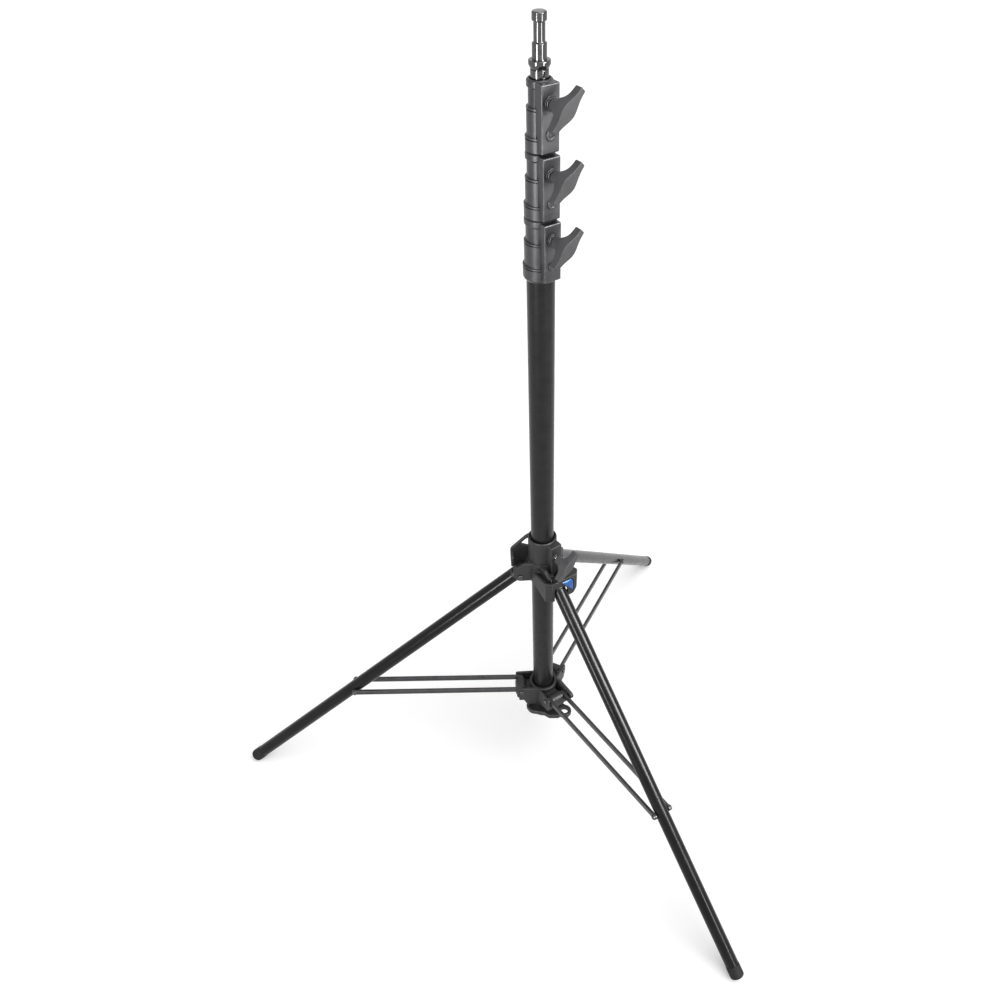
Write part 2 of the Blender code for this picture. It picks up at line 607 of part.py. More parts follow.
# Brace hub, fixed at the foot of the base tube
low_hub = lathe([(0, LOW_BOTTOM), (LOW_R - 3 * MM, LOW_BOTTOM), (LOW_R, LOW_BOTTOM + 4 * MM),
                 (LOW_R, LOW_TOP - 1 * MM), (LOW_R - 1 * MM, LOW_TOP), (0, LOW_TOP)], ROUND, closed=False)
cheek_in = BAR_INNER + BAR_THICK + 0.6 * MM
cheek_out = cheek_in + CHEEK_WALL
core_half = BAR_INNER - 0.6 * MM
low_steps = []
for tag, azimuth in LEG_AZIMUTHS.items():
    wide = core_half + over
    core = box(INSIDE, LOW_ARM_REACH, -wide, wide, LOW_ARM_BOTTOM - 2 * MM, CORE_TOP)
    eye = along_y(rod(LOW_PIVOT_INSET / 2, 2 * (wide + over), SMALL_ROUND), BRACE_REACH, -wide - over, BRACE_Z)
    trim = box(0, LOW_ARM_REACH + over, -core_half, core_half, LOW_BOTTOM, BRACE_Z + LOW_PIVOT_INSET)
    core = shaped(core, [("UNION", eye), ("INTERSECT", trim)])
    low_steps.append(("UNION", turned(core, azimuth)))
    for side in (-1, 1):
        span = sorted((side * cheek_in, side * cheek_out))
        cheek = box(10 * MM, LOW_ARM_REACH - 2 * MM, span[0], span[1], LOW_ARM_BOTTOM - LOW_WEB, LOW_ARM_TOP)
        low_steps.append(("UNION", turned(cheek, azimuth)))
    web = box(12 * MM, LOW_ARM_REACH - 6 * MM, -cheek_out + 0.5 * MM, cheek_out - 0.5 * MM,
              LOW_ARM_BOTTOM - LOW_WEB + 0.5 * MM, LOW_ARM_BOTTOM)
    low_steps.append(("UNION", turned(web, azimuth)))
thumb = [(13 * MM, LOW_ARM_BOTTOM + 8 * MM), (PAD_BLOCK_REACH - 8 * MM, LOW_ARM_BOTTOM + 8 * MM),
         (PAD_BLOCK_REACH, PAD_BLOCK_TOP - 8 * MM), (PAD_BLOCK_REACH - 4 * MM, PAD_BLOCK_TOP),
         (13 * MM, PAD_BLOCK_TOP)]
low_steps.append(("UNION", turned(prism(thumb, cheek_in + 1 * MM, PAD_BLOCK_OUT), LEG_AZIMUTHS["front"])))

# A flange low on the hub with a loop beside it, and a gusset up to the left arm
flange_top = FLANGE_Z + FLANGE_THICK
flange = [(-10 * MM, 0), (-FLANGE_LEFT, -16 * MM), (-FLANGE_LEFT, -20 * MM), (6 * MM - FLANGE_LEFT, -30 * MM),
          (-1.5 * MM, -FLANGE_FRONT), (7.5 * MM, 1.5 * MM - FLANGE_TOE), (FLANGE_RIGHT, -FLANGE_TOE),
          (FLANGE_RIGHT + 3 * MM, -30 * MM), (10 * MM, 0)]
low_steps.append(("UNION", flat_plate(flange, FLANGE_Z, flange_top)))
gusset = [(INSIDE, FLANGE_Z + 1 * MM), (GUSSET_FOOT, FLANGE_Z + 1 * MM), (GUSSET_FOOT + 1 * MM, flange_top),
          (GUSSET_REACH, LOW_ARM_BOTTOM - LOW_WEB + 2 * MM), (INSIDE, LOW_ARM_BOTTOM - LOW_WEB + 2 * MM)]
gusset_made = prism(gusset, cheek_in - 1 * MM, cheek_out - 1 * MM)
low_steps.append(("UNION", turned(gusset_made, LEG_AZIMUTHS["left"])))
loop_move = Matrix.Translation((LOOP_REACH, 0, FLANGE_Z))
loop_half = LOOP_R - 2 * MM
loop_bar = box(12 * MM, LOOP_REACH, -loop_half, loop_half, FLANGE_Z + 0.5 * MM, flange_top - 0.5 * MM)
low_steps.append(("UNION", turned(loop_bar, LOOP_AZIMUTH)))
low_steps.append(("UNION", turned(moved(rod(LOOP_R, FLANGE_THICK, LEG_ROUND), loop_move), LOOP_AZIMUTH)))
hole_move = Matrix.Translation((LOOP_REACH, 0, FLANGE_Z - FLANGE_THICK))
loop_hole = moved(rod(LOOP_HOLE_R, 3 * FLANGE_THICK, SMALL_ROUND), hole_move)
low_steps.append(("DIFFERENCE", turned(loop_hole, LOOP_AZIMUTH)))
low_bore = [(0, LOW_BOTTOM - bore_over), (BASE_R + FIT, LOW_BOTTOM - bore_over),
            (BASE_R + FIT, LOW_TOP - RIM_DEPTH), (BASE_R + RIM_GAP, LOW_TOP + over), (0, LOW_TOP + over)]
low_steps.append(("DIFFERENCE", lathe(low_bore, ROUND, closed=False)))
low_pin_room = 2 * PAD_BLOCK_OUT + 2 * FIT
for azimuth in LEG_AZIMUTHS.values():
    hole = along_y(rod(RIVET_R + FIT, low_pin_room, SMALL_ROUND), BRACE_REACH, -low_pin_room / 2, BRACE_Z)
    low_steps.append(("DIFFERENCE", turned(hole, azimuth)))
node("brace_hub", shaped(low_hub, low_steps), column, dark_plastic)


def pin(radius, head_r, head, near, far):
    # Pin along Y with a head beyond near on the minus side and one beyond far on the plus side.
    shape = [(0, -near - head), (head_r - 0.6 * MM, -near - head), (head_r, -near - head + 0.6 * MM),
             (head_r, -near), (radius, -near), (radius, far), (head_r, far),
             (head_r, far + head - 0.6 * MM), (head_r - 0.6 * MM, far + head), (0, far + head)]
    return along_y(lathe(shape, SMALL_ROUND, closed=False), 0, 0, 0)


def stadium(length, radius, count):
    outline = []
    for step in range(count + 1):
        angle = math.pi / 2 + math.pi * step / count
        outline.append((radius * math.cos(angle), radius * math.sin(angle)))
    for step in range(count + 1):
        angle = -math.pi / 2 + math.pi * step / count
        outline.append((length + radius * math.cos(angle), radius * math.sin(angle)))
    return outline


# Legs, braces and their pivots
leg_slope = math.atan2(PIVOT_Z - FOOT_Z, FOOT_REACH - PIVOT_REACH)
leg_length = math.hypot(PIVOT_Z - FOOT_Z, FOOT_REACH - PIVOT_REACH)
leg_mark = (BRACE_ON_LEG - PIVOT_REACH) / math.cos(leg_slope)
mark_z = PIVOT_Z - leg_mark * math.sin(leg_slope)
brace_length = math.hypot(BRACE_ON_LEG - BRACE_REACH, mark_z - BRACE_Z)
brace_slope = math.atan2(mark_z - BRACE_Z, BRACE_ON_LEG - BRACE_REACH)
for tag, azimuth in LEG_AZIMUTHS.items():
    angle = math.radians(azimuth)
    outward = Vector((math.cos(angle), math.sin(angle), 0))
    pivot = outward * PIVOT_REACH + Vector((0, 0, PIVOT_Z))
    fold = empty("leg_fold_" + tag, hub_slide, pivot, (0, leg_slope, angle))
    pin_holder = empty("leg_pin_place_" + tag, hub_slide, pivot, (0, 0, angle))
    leg_pin = pin(PIVOT_PIN_R, PIN_HEAD_R, PIN_HEAD, arm_out + FIT, arm_out + FIT)
    node("leg_pin_" + tag, leg_pin, pin_holder, steel)

    tube_end = leg_length - FOOT_LENGTH
    leg = along_x(tube(LEG_R, LEG_WALL, LEG_START, tube_end, LEG_ROUND), 0, 0, 0)
    node("leg_tube_" + tag, leg, fold, black_tube)

    core_r = LEG_R - LEG_WALL - FIT
    knuckle = along_x(lathe([(0, LEG_START - 5 * MM), (LEG_R, LEG_START - 5 * MM), (LEG_R, LEG_START - FIT),
                             (core_r, LEG_START - FIT), (core_r, LEG_START + KNUCKLE_SPIGOT),
                             (0, LEG_START + KNUCKLE_SPIGOT)], LEG_ROUND, closed=False), 0, 0, 0)
    round_end = stadium(LEG_START, KNUCKLE_R, 8)[:9]
    eye_outline = round_end + [(LEG_START - 2 * MM, -KNUCKLE_R), (LEG_START - 2 * MM, KNUCKLE_R)]
    eye = prism(eye_outline, -KNUCKLE_HALF, KNUCKLE_HALF)
    eye_hole = along_y(rod(PIVOT_PIN_R + TURN_GAP, 40 * MM, SMALL_ROUND), 0, -20 * MM, 0)
    barrel_end = along_x(rod(LEG_R, 60 * MM, LEG_ROUND), -30 * MM, 0, 0)
    eye = shaped(eye, [("INTERSECT", barrel_end)])
    knuckle = shaped(knuckle, [("UNION", eye), ("DIFFERENCE", eye_hole)])
    node("leg_knuckle_" + tag, knuckle, fold, dark_plastic)

    foot_r = LEG_R + 0.2 * MM
    foot = along_x(lathe([(0, tube_end - FOOT_PLUG), (core_r, tube_end - FOOT_PLUG), (core_r, tube_end + FIT),
                          (foot_r, tube_end + FIT), (foot_r, leg_length - FOOT_CHAMFER),
                          (foot_r - FOOT_CHAMFER * 0.92, leg_length), (0, leg_length + 0.8 * MM)],
                         LEG_ROUND, closed=False), 0, 0, 0)
    place = Matrix.Translation(pivot) @ fold.rotation_euler.to_matrix().to_4x4()
    back = place.inverted()
    cut_spot = back @ Vector((pivot.x, pivot.y, 0))
    cut_way = back.to_3x3() @ Vector((0, 0, -1))
    bmesh.ops.bisect_plane(foot, geom=foot.verts[:] + foot.edges[:] + foot.faces[:], plane_co=cut_spot,
                           plane_no=cut_way, clear_outer=True)
    bmesh.ops.holes_fill(foot, edges=[edge for edge in foot.edges if edge.is_boundary])
    node("foot_" + tag, tidy(foot), fold, rubber)

    root = outward * BRACE_REACH + Vector((0, 0, BRACE_Z))
    brace_turn = empty("brace_fold_" + tag, column, root, (0, -brace_slope, angle))
    low_pin_place = empty("brace_pin_place_" + tag, column, root, (0, 0, angle))
    far_side = PAD_BLOCK_OUT if tag == "front" else cheek_out
    low_pin = pin(RIVET_R, PIN_HEAD_R, PIN_HEAD, cheek_out + FIT, far_side + FIT)
    node("brace_pin_" + tag, low_pin, low_pin_place, steel)
    for side, mark in ((-1, "a"), (1, "b")):
        span = sorted((side * BAR_INNER, side * (BAR_INNER + BAR_THICK)))
        holes = []
        for spot in (0.0, brace_length):
            holes.append(("DIFFERENCE", along_y(rod(RIVET_R + TURN_GAP, 40 * MM, SMALL_ROUND), spot,
                                                span[0] - 20 * MM, 0)))
        bar = shaped(prism(stadium(brace_length, BAR_HALF, 8), span[0], span[1]), holes)
        node("brace_%s_%s" % (tag, mark), bar, brace_turn, bar_paint)
        reach = BAR_INNER + BAR_THICK + FIT
        rivet = lathe([(0, BAR_INNER), (RIVET_R, BAR_INNER), (RIVET_R, reach), (PIN_HEAD_R, reach),
                       (PIN_HEAD_R, reach + PIN_HEAD - 0.6 * MM), (PIN_HEAD_R - 0.8 * MM, reach + PIN_HEAD),
                       (0, reach + PIN_HEAD)], SMALL_ROUND, closed=False)
        if side < 0:
            moved(rivet, Matrix.Rotation(math.pi, 4, "X"))
        rivet = along_y(rivet, brace_length, 0, 0)
        node("brace_rivet_%s_%s" % (tag, mark), rivet, brace_turn, steel)


# The footprint is centred on the origin, which sets the mast aside from it
bpy.context.view_layer.update()
reaches = [(thing.matrix_world @ corner.co).x for thing in bpy.data.objects if thing.type == "MESH"
           for corner in thing.data.vertices]
stand.location.x = -(min(reaches) + max(reaches)) / 2
bpy.context.view_layer.update()
print("mast at x", round(stand.location.x, 6))
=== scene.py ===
import json
import math
import bpy
import bmesh
from mathutils import Matrix, Vector

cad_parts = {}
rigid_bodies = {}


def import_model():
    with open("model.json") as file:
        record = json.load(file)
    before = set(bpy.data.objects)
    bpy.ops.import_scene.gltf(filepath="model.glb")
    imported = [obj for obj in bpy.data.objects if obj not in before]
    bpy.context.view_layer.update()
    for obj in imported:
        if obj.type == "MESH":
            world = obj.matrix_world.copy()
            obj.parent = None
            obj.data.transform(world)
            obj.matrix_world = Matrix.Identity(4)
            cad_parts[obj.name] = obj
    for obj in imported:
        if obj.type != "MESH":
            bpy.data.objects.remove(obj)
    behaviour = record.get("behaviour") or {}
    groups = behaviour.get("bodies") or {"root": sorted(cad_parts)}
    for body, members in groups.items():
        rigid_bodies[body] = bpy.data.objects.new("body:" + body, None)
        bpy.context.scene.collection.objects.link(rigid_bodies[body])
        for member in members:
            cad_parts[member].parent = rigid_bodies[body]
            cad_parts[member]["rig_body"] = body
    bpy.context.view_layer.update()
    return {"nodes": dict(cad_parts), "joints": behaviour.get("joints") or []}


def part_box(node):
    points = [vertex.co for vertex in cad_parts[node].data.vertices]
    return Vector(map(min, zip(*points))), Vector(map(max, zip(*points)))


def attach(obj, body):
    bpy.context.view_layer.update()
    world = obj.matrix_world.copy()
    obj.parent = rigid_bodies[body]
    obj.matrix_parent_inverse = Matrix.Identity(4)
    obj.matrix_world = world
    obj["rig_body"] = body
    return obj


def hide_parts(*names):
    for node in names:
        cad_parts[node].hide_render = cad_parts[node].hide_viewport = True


for spare in list(bpy.data.objects):
    bpy.data.objects.remove(spare, do_unlink=True)
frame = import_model()

mm = 0.001
upward = Vector((0, 0, 1))
legTags = ("left", "front", "rear")
collarTags = ("lower", "middle", "upper")
clampTags = collarTags + ("hub",)
joints = {joint["name"]: joint for joint in frame["joints"]}
tubeLow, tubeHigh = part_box("base_tube")
mast = Vector(((tubeLow.x + tubeHigh.x) / 2, 0, 0))  # the column's axis at the floor
mastPlace = Matrix.Translation(mast)
alongX = Matrix.Rotation(math.radians(90), 4, "Y")  # turns local Z to run along X
alongY = Matrix.Rotation(math.radians(-90), 4, "X")
tiny = 1e-7
weldGap = 1e-6
arcShare = 0.48  # of a side, the most that the arc at its corner takes


def lengths(**sizes):
    # sizes written in millimetres
    return {name: size * mm for name, size in sizes.items()}


# places read from the frame

def radiusOf(node):
    low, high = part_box(node)
    return (high.x - low.x) / 2


def facing(outward, base):
    # local X runs outward from the mast, local Z stays up
    outward = outward.normalized()
    turn = Matrix((outward, upward.cross(outward), upward)).transposed()
    return Matrix.Translation(base) @ turn.to_4x4()


def armPlace(tag):
    outward = Vector(joints["leg_fold_" + tag]["axis"]).cross(upward)
    return facing(outward, mast)


def clampPlace(tag):
    low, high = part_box("screw_" + tag)
    middle = (low + high) / 2
    outward = Vector((middle.x - mast.x, middle.y - mast.y, 0))
    return facing(outward, Vector((mast.x, mast.y, middle.z)))


def nodePoints(node):
    corners = frame["nodes"][node].data.vertices
    return [Vector(spot) for spot in {tuple(round(x, 6) for x in corner.co) for corner in corners}]


def spanOf(node, origin, axis):
    # nearest and farthest of a node's points along an axis
    spans = [(spot - origin).dot(axis) for spot in nodePoints(node)]
    return min(spans), max(spans)


def clampSpan(node, place):
    return spanOf(node, place.translation, place.to_3x3() @ Vector((1, 0, 0)))


def barPlace(node, joint):
    # a straight node seen from its pivot: its place with local X along it, its near end and its far end
    pivot = Vector(joints[joint]["pos_m"])
    side = Vector(joints[joint]["axis"]).normalized()
    points = [spot - pivot for spot in nodePoints(node)]
    middle = sum(points, Vector()) / len(points)
    along = (middle - side * middle.dot(side)).normalized()
    turn = Matrix((along, side, along.cross(side))).transposed()
    reaches = [spot.dot(along) for spot in points]
    return Matrix.Translation(pivot) @ turn.to_4x4(), min(reaches), max(reaches)


# shape tools

def eased(points, closed=False, steps=4):
    # a corner given as (a, b, setback) becomes an arc
    path = []
    for index, point in enumerate(points):
        here = Vector(point[:2])
        setback = point[2] if len(point) > 2 else 0
        if setback <= 0 or not (closed or 0 < index < len(points) - 1):
            path.append(tuple(here))
            continue
        before = Vector(points[index - 1][:2]) - here
        after = Vector(points[(index + 1) % len(points)][:2]) - here
        start = before.normalized() * min(setback, arcShare * before.length)
        stop = after.normalized() * min(setback, arcShare * after.length)
        for step in range(steps + 1):
            share = step / steps
            path.append(tuple(here + start * (1 - share) ** 2 + stop * share ** 2))
    return path


def cleaned(work):
    bmesh.ops.remove_doubles(work, verts=work.verts, dist=tiny)
    bmesh.ops.dissolve_degenerate(work, edges=work.edges, dist=tiny)
    bmesh.ops.recalc_face_normals(work, faces=work.faces)
    return work


def turned(profile, sides=72):
    # (radius, height) points about Z; a profile off the axis closes into a ring
    work = bmesh.new()
    work.faces.layers.float.new("edgeWear")
    rings = []
    for radius, height in profile:
        if radius < tiny:
            rings.append([work.verts.new((0, 0, height))] * sides)
            continue
        angles = [2 * math.pi * step / sides for step in range(sides)]
        rings.append([work.verts.new((radius * math.cos(a), radius * math.sin(a), height)) for a in angles])
    pairs = list(zip(rings, rings[1:]))
    if profile[0][0] > tiny:
        pairs.append((rings[-1], rings[0]))
    for low, high in pairs:
        for step in range(sides):
            after = (step + 1) % sides
            corners = [low[step], low[after], high[after], high[step]]
            corners = list(dict.fromkeys(corners))
            if len(corners) > 2:
                work.faces.new(corners)
    return cleaned(work)


def slab(outline, start, end, edge=0, rounds=3):
    # outline in X and Z pushed along Y, with both rims eased
    work = bmesh.new()
    wear = work.faces.layers.float.new("edgeWear")
    near = [work.verts.new((x, start, z)) for x, z in outline]
    far = [work.verts.new((x, end, z)) for x, z in outline]
    ends = [work.faces.new(near), work.faces.new(list(reversed(far)))]
    for step in range(len(outline)):
        after = (step + 1) % len(outline)
        work.faces.new((near[step], far[step], far[after], near[after]))
    bmesh.ops.recalc_face_normals(work, faces=work.faces)
    if edge > 0:
        rims = list({rim for face in ends for rim in face.edges})
        made = bmesh.ops.bevel(work, geom=rims, offset=edge, segments=rounds, profile=0.5,
                               affect="EDGES", clamp_overlap=True)
        for face in made["faces"]:
            face[wear] = 1
    return work


def block(x, y, z, corner, edge):
    outline = [(x[0], z[0], corner), (x[1], z[0], corner), (x[1], z[1], corner), (x[0], z[1], corner)]
    return slab(eased(outline, closed=True), y[0], y[1], edge)


def moved(work, matrix):
    bmesh.ops.transform(work, matrix=matrix, verts=work.verts)
    return work


def pointing(work, axis, spot):
    # local Z turned to run along X or Y
    turn = alongX if axis == "X" else alongY
    return moved(work, Matrix.Translation(spot) @ turn)


def rod(radius, length, sides=40, ease=0):
    profile = [(0, 0), (radius, 0, ease), (radius, length, ease), (0, length)]
    return turned(eased(profile), sides)


def looseObject(name, work):
    mesh = bpy.data.meshes.new(name)
    work.to_mesh(mesh)
    work.free()
    made = bpy.data.objects.new(name, mesh)
    bpy.context.scene.collection.objects.link(made)
    return made


def takeMesh(holder):
    # the evaluated mesh of a holder, which is then removed
    bpy.context.view_layer.update()
    graph = bpy.context.evaluated_depsgraph_get()
    mesh = bpy.data.meshes.new_from_object(holder.evaluated_get(graph))
    old = holder.data
    bpy.data.objects.remove(holder, do_unlink=True)
    bpy.data.meshes.remove(old)
    return mesh


def combine(base, steps):
    work = base
    for way, other in steps:
        first = looseObject("first", work)
        second = looseObject("second", other)
        change = first.modifiers.new("change", "BOOLEAN")
        change.operation = way
        change.solver = "EXACT"
        change.object = second
        mesh = takeMesh(first)
        spent = second.data
        bpy.data.objects.remove(second, do_unlink=True)
        bpy.data.meshes.remove(spent)
        work = bmesh.new()
        work.from_mesh(mesh)
        bpy.data.meshes.remove(mesh)
        bmesh.ops.remove_doubles(work, verts=work.verts, dist=weldGap)
        bmesh.ops.dissolve_degenerate(work, edges=work.edges, dist=weldGap)
    return work


def meshFrom(work, name):
    mesh = bpy.data.meshes.new(name)
    work.to_mesh(mesh)
    work.free()
    return mesh


def addPiece(name, mesh, finish, place, nodes, sharp=38):
    # keeps the piece's own coordinates for its finish, then moves its place into its mesh
    spots = mesh.attributes.new("pieceCoord", "FLOAT_VECTOR", "POINT")
    for index, corner in enumerate(mesh.vertices):
        spots.data[index].vector = corner.co
    mesh.transform(place)
    mesh.shade_smooth()
    mesh.set_sharp_from_angle(angle=math.radians(sharp))
    mesh.materials.clear()
    mesh.materials.append(finish)
    made = bpy.data.objects.new(name, mesh)
    bpy.context.scene.collection.objects.link(made)
    weigh = made.modifiers.new("weigh", "WEIGHTED_NORMAL")
    weigh.keep_sharp = True
    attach(made, frame["nodes"][nodes[0]]["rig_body"])
    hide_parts(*nodes)
    return made


# node helpers for finishes and for grown shapes

def addNode(tree, kind, inputs=None, **settings):
    node = tree.nodes.new(kind)
    for label, value in settings.items():
        setattr(node, label, value)
    for label, value in (inputs or {}).items():
        if isinstance(value, bpy.types.NodeSocket):
            tree.links.new(value, node.inputs[label])
        else:
            node.inputs[label].default_value = value
    return node


def firstOf(tree, kind, inputs=None, **settings):
    # the first output of a new node
    return addNode(tree, kind, inputs, **settings).outputs[0]


def addMath(tree, operation, first, second):
    return firstOf(tree, "ShaderNodeMath", {0: first, 1: second}, operation=operation)


# finishes

def newFinish(name, slot, roughness, metallic, specular=0.5):
    finish = bpy.data.materials.new(name)
    finish.use_nodes = True
    finish["slot"] = slot
    shader = finish.node_tree.nodes["Principled BSDF"]
    shader.inputs["Roughness"].default_value = roughness
    shader.inputs["Metallic"].default_value = metallic
    shader.inputs["Specular IOR Level"].default_value = specular
    return finish, finish.node_tree, shader


def ownSpot(tree, stretch=(1, 1, 1)):
    # the piece's own coordinates, drawn out where a finish runs along the piece
    spot = addNode(tree, "ShaderNodeAttribute", attribute_name="pieceCoord").outputs["Vector"]
    return addNode(tree, "ShaderNodeMapping", {"Vector": spot, "Scale": stretch}).outputs["Vector"]


def objectSpot(tree):
    return addNode(tree, "ShaderNodeTexCoord").outputs["Object"]


def cloud(tree, spot, scale, detail=3):
    return firstOf(tree, "ShaderNodeTexNoise", {"Vector": spot, "Scale": scale, "Detail": detail})


def spread(tree, value, low, high, span=(0.3, 0.7)):
    inputs = {"Value": value, "From Min": span[0], "From Max": span[1], "To Min": low, "To Max": high}
    return firstOf(tree, "ShaderNodeMapRange", inputs)


def mixColour(tree, share, first, second):
    # a Mix node's colours are its inputs 6 and 7 and its output 2
    node = addNode(tree, "ShaderNodeMix", {0: share}, data_type="RGBA")
    for index, colour in ((6, first), (7, second)):
        if isinstance(colour, bpy.types.NodeSocket):
            tree.links.new(colour, node.inputs[index])
        else:
            node.inputs[index].default_value = (*colour, 1)
    return node.outputs[2]


def emboss(tree, shader, height, depth, strength=1.0):
    bump = addNode(tree, "ShaderNodeBump", {"Height": height, "Distance": depth, "Strength": strength})
    tree.links.new(bump.outputs["Normal"], shader.inputs["Normal"])


def wornShare(tree, spot, scale, most):
    # rubbed edges, broken up so that they are not even
    edge = addNode(tree, "ShaderNodeAttribute", attribute_name="edgeWear").outputs["Fac"]
    return addMath(tree, "MULTIPLY", edge, spread(tree, cloud(tree, spot, scale, 5), 0, most))


drawnLook = {"dark": (0.003, 0.003, 0.0033), "light": (0.006, 0.006, 0.0065), "rough": (0.19, 0.27),
             "streak": (900, 900, 9), "streakDepth": 0.006 * mm, "streakBump": 0.3, "streakRough": 0.03,
             "marks": 60, "specular": 0.2}
# the base tube is a shade paler, a painted sheen that stands in for the light it reflects, and less glossy
# than the risers and legs
satinPaintedSheenLook = drawnLook | {"dark": (0.013, 0.013, 0.014), "light": (0.019, 0.019, 0.02), "rough": (0.26, 0.34)}


def makeDrawnTube(name, slot, look):
    # black enamel on drawn steel: faint streaks along the tube and soft handling marks
    finish, tree, shader = newFinish(name, slot, look["rough"][0], 0, look["specular"])
    streaks = cloud(tree, ownSpot(tree, look["streak"]), 1, 4)
    marks = cloud(tree, ownSpot(tree), look["marks"], 4)
    colour = mixColour(tree, spread(tree, marks, 0, 1), look["dark"], look["light"])
    tree.links.new(colour, shader.inputs["Base Color"])
    change = spread(tree, streaks, -look["streakRough"], look["streakRough"])
    rough = addMath(tree, "ADD", spread(tree, marks, *look["rough"]), change)
    tree.links.new(rough, shader.inputs["Roughness"])
    emboss(tree, shader, streaks, look["streakDepth"], look["streakBump"])
    return finish


chromeLook = {"dark": (0.08, 0.08, 0.082), "light": (0.105, 0.105, 0.107), "rough": (0.06, 0.11),
              "ring": (30, 30, 2600), "ringDepth": 0.012 * mm, "ringBump": 0.4, "haze": 180}


def makeBlackChrome(look):
    # dark plated steel with turning rings
    finish, tree, shader = newFinish("blackChrome", "black_chrome", look["rough"][0], 1)
    rings = cloud(tree, ownSpot(tree, look["ring"]), 1, 3)
    haze = cloud(tree, ownSpot(tree), look["haze"], 4)
    colour = mixColour(tree, spread(tree, haze, 0, 1), look["dark"], look["light"])
    tree.links.new(colour, shader.inputs["Base Color"])
    tree.links.new(spread(tree, haze, *look["rough"]), shader.inputs["Roughness"])
    emboss(tree, shader, rings, look["ringDepth"], look["ringBump"])
    return finish


grainShares = {"rough": 0.04, "bump": 0.6, "wornScale": 4}


def makeGrained(name, slot, look):
    # coated castings and moulded plastic: fine grain, soft patches, paler rubbed edges
    finish, tree, shader = newFinish(name, slot, look["rough"][0], look["metallic"], look["specular"])
    spot = objectSpot(tree)
    grain = cloud(tree, spot, look["grain"], 2)
    patches = cloud(tree, spot, look["patch"], 4)
    colour = mixColour(tree, spread(tree, patches, 0, 1), look["dark"], look["light"])
    worn = wornShare(tree, spot, look["patch"] * grainShares["wornScale"], look["worn"])
    colour = mixColour(tree, worn, colour, look["edge"])
    tree.links.new(colour, shader.inputs["Base Color"])
    change = spread(tree, grain, -grainShares["rough"], grainShares["rough"])
    rough = addMath(tree, "ADD", spread(tree, patches, *look["rough"]), change)
    tree.links.new(rough, shader.inputs["Roughness"])
    emboss(tree, shader, grain, look["grainDepth"], grainShares["bump"])
    return finish


castLook = {"dark": (0.052, 0.052, 0.055), "light": (0.074, 0.074, 0.078), "edge": (0.18, 0.18, 0.19),
            "rough": (0.33, 0.42), "metallic": 0.7, "specular": 0.5, "grain": 2600, "patch": 45,
            "grainDepth": 0.05 * mm, "worn": 0.5}
hubLook = {"dark": (0.023, 0.023, 0.0245), "light": (0.034, 0.034, 0.036), "edge": (0.12, 0.12, 0.125),
           "rough": (0.4, 0.52), "metallic": 0, "specular": 0.28, "grain": 1900, "patch": 38,
           "grainDepth": 0.06 * mm, "worn": 0.5}
gripLook = {"dark": (0.055, 0.055, 0.058), "light": (0.085, 0.085, 0.089), "edge": (0.16, 0.16, 0.165),
            "rough": (0.48, 0.6), "metallic": 0, "specular": 0.28, "grain": 1300, "patch": 60,
            "grainDepth": 0.12 * mm, "worn": 0.4}
barLook = {"dark": (0.035, 0.035, 0.037), "light": (0.052, 0.052, 0.055), "edge": (0.13, 0.13, 0.135),
           "rough": (0.28, 0.4), "metallic": 0.2, "specular": 0.35, "grain": 1500, "patch": 50,
           "grainDepth": 0.03 * mm, "worn": 0.5}
rubberLook = {"dark": (0.008, 0.008, 0.008), "light": (0.014, 0.014, 0.0135), "edge": (0.035, 0.035, 0.034),
              "rough": (0.6, 0.75), "metallic": 0, "specular": 0.2, "grain": 1600, "patch": 120,
              "grainDepth": 0.08 * mm, "worn": 0.6}
nylonLook = {"dark": (0.5, 0.5, 0.47), "light": (0.62, 0.62, 0.59), "edge": (0.7, 0.7, 0.68),
             "rough": (0.42, 0.55), "metallic": 0, "specular": 0.5, "grain": 2200, "patch": 60,
             "grainDepth": 0.04 * mm, "worn": 0.2}
metalLook = {"metallic": 1, "specular": 0.5, "grain": 2400, "patch": 220, "grainDepth": 0.02 * mm,
             "worn": 0.4}
steelLook = metalLook | {"dark": (0.46, 0.46, 0.47), "light": (0.6, 0.6, 0.61), "edge": (0.72, 0.72, 0.73),
                         "rough": (0.2, 0.34)}
darkSteelLook = metalLook | {"dark": (0.06, 0.06, 0.063), "light": (0.1, 0.1, 0.104),
                             "edge": (0.3, 0.3, 0.31), "rough": (0.18, 0.3)}
brassLook = metalLook | {"dark": (0.42, 0.29, 0.11), "light": (0.56, 0.41, 0.17), "edge": (0.7, 0.55, 0.28),
                         "rough": (0.3, 0.45), "patch": 150}
blueLook = {"dark": (0.01, 0.065, 0.28), "light": (0.03, 0.14, 0.46), "edge": (0.2, 0.45, 0.9),
            "rough": (0.08, 0.13), "metallic": 0.4, "specular": 0.5, "grain": 1500, "patch": 160,
            "grainDepth": 0.01 * mm, "worn": 0.5}

blackTube = makeDrawnTube("blackTube", "black_tube", drawnLook)
satinPaintedSheenTube = makeDrawnTube("satinPaintedSheenTube", "black_tube", satinPaintedSheenLook)
blackChrome = makeBlackChrome(chromeLook)
castCharcoal = makeGrained("castCharcoal", "grey_casting", castLook)
hubPlastic = makeGrained("hubPlastic", "hub_plastic", hubLook)
knobGrip = makeGrained("knobGrip", "knob_plastic", gripLook)
barEnamel = makeGrained("barEnamel", "bar_paint", barLook)
footRubber = makeGrained("footRubber", "rubber", rubberLook)
glideNylon = makeGrained("glideNylon", "white_nylon", nylonLook)
zincSteel = makeGrained("zincSteel", "steel", steelLook)
blackZinc = makeGrained("blackZinc", "black_chrome", darkSteelLook)
padBrass = makeGrained("padBrass", "brass", brassLook)
badgeBlue = makeGrained("badgeBlue", "blue_gloss", blueLook)
print("finishes made")


# grown shapes

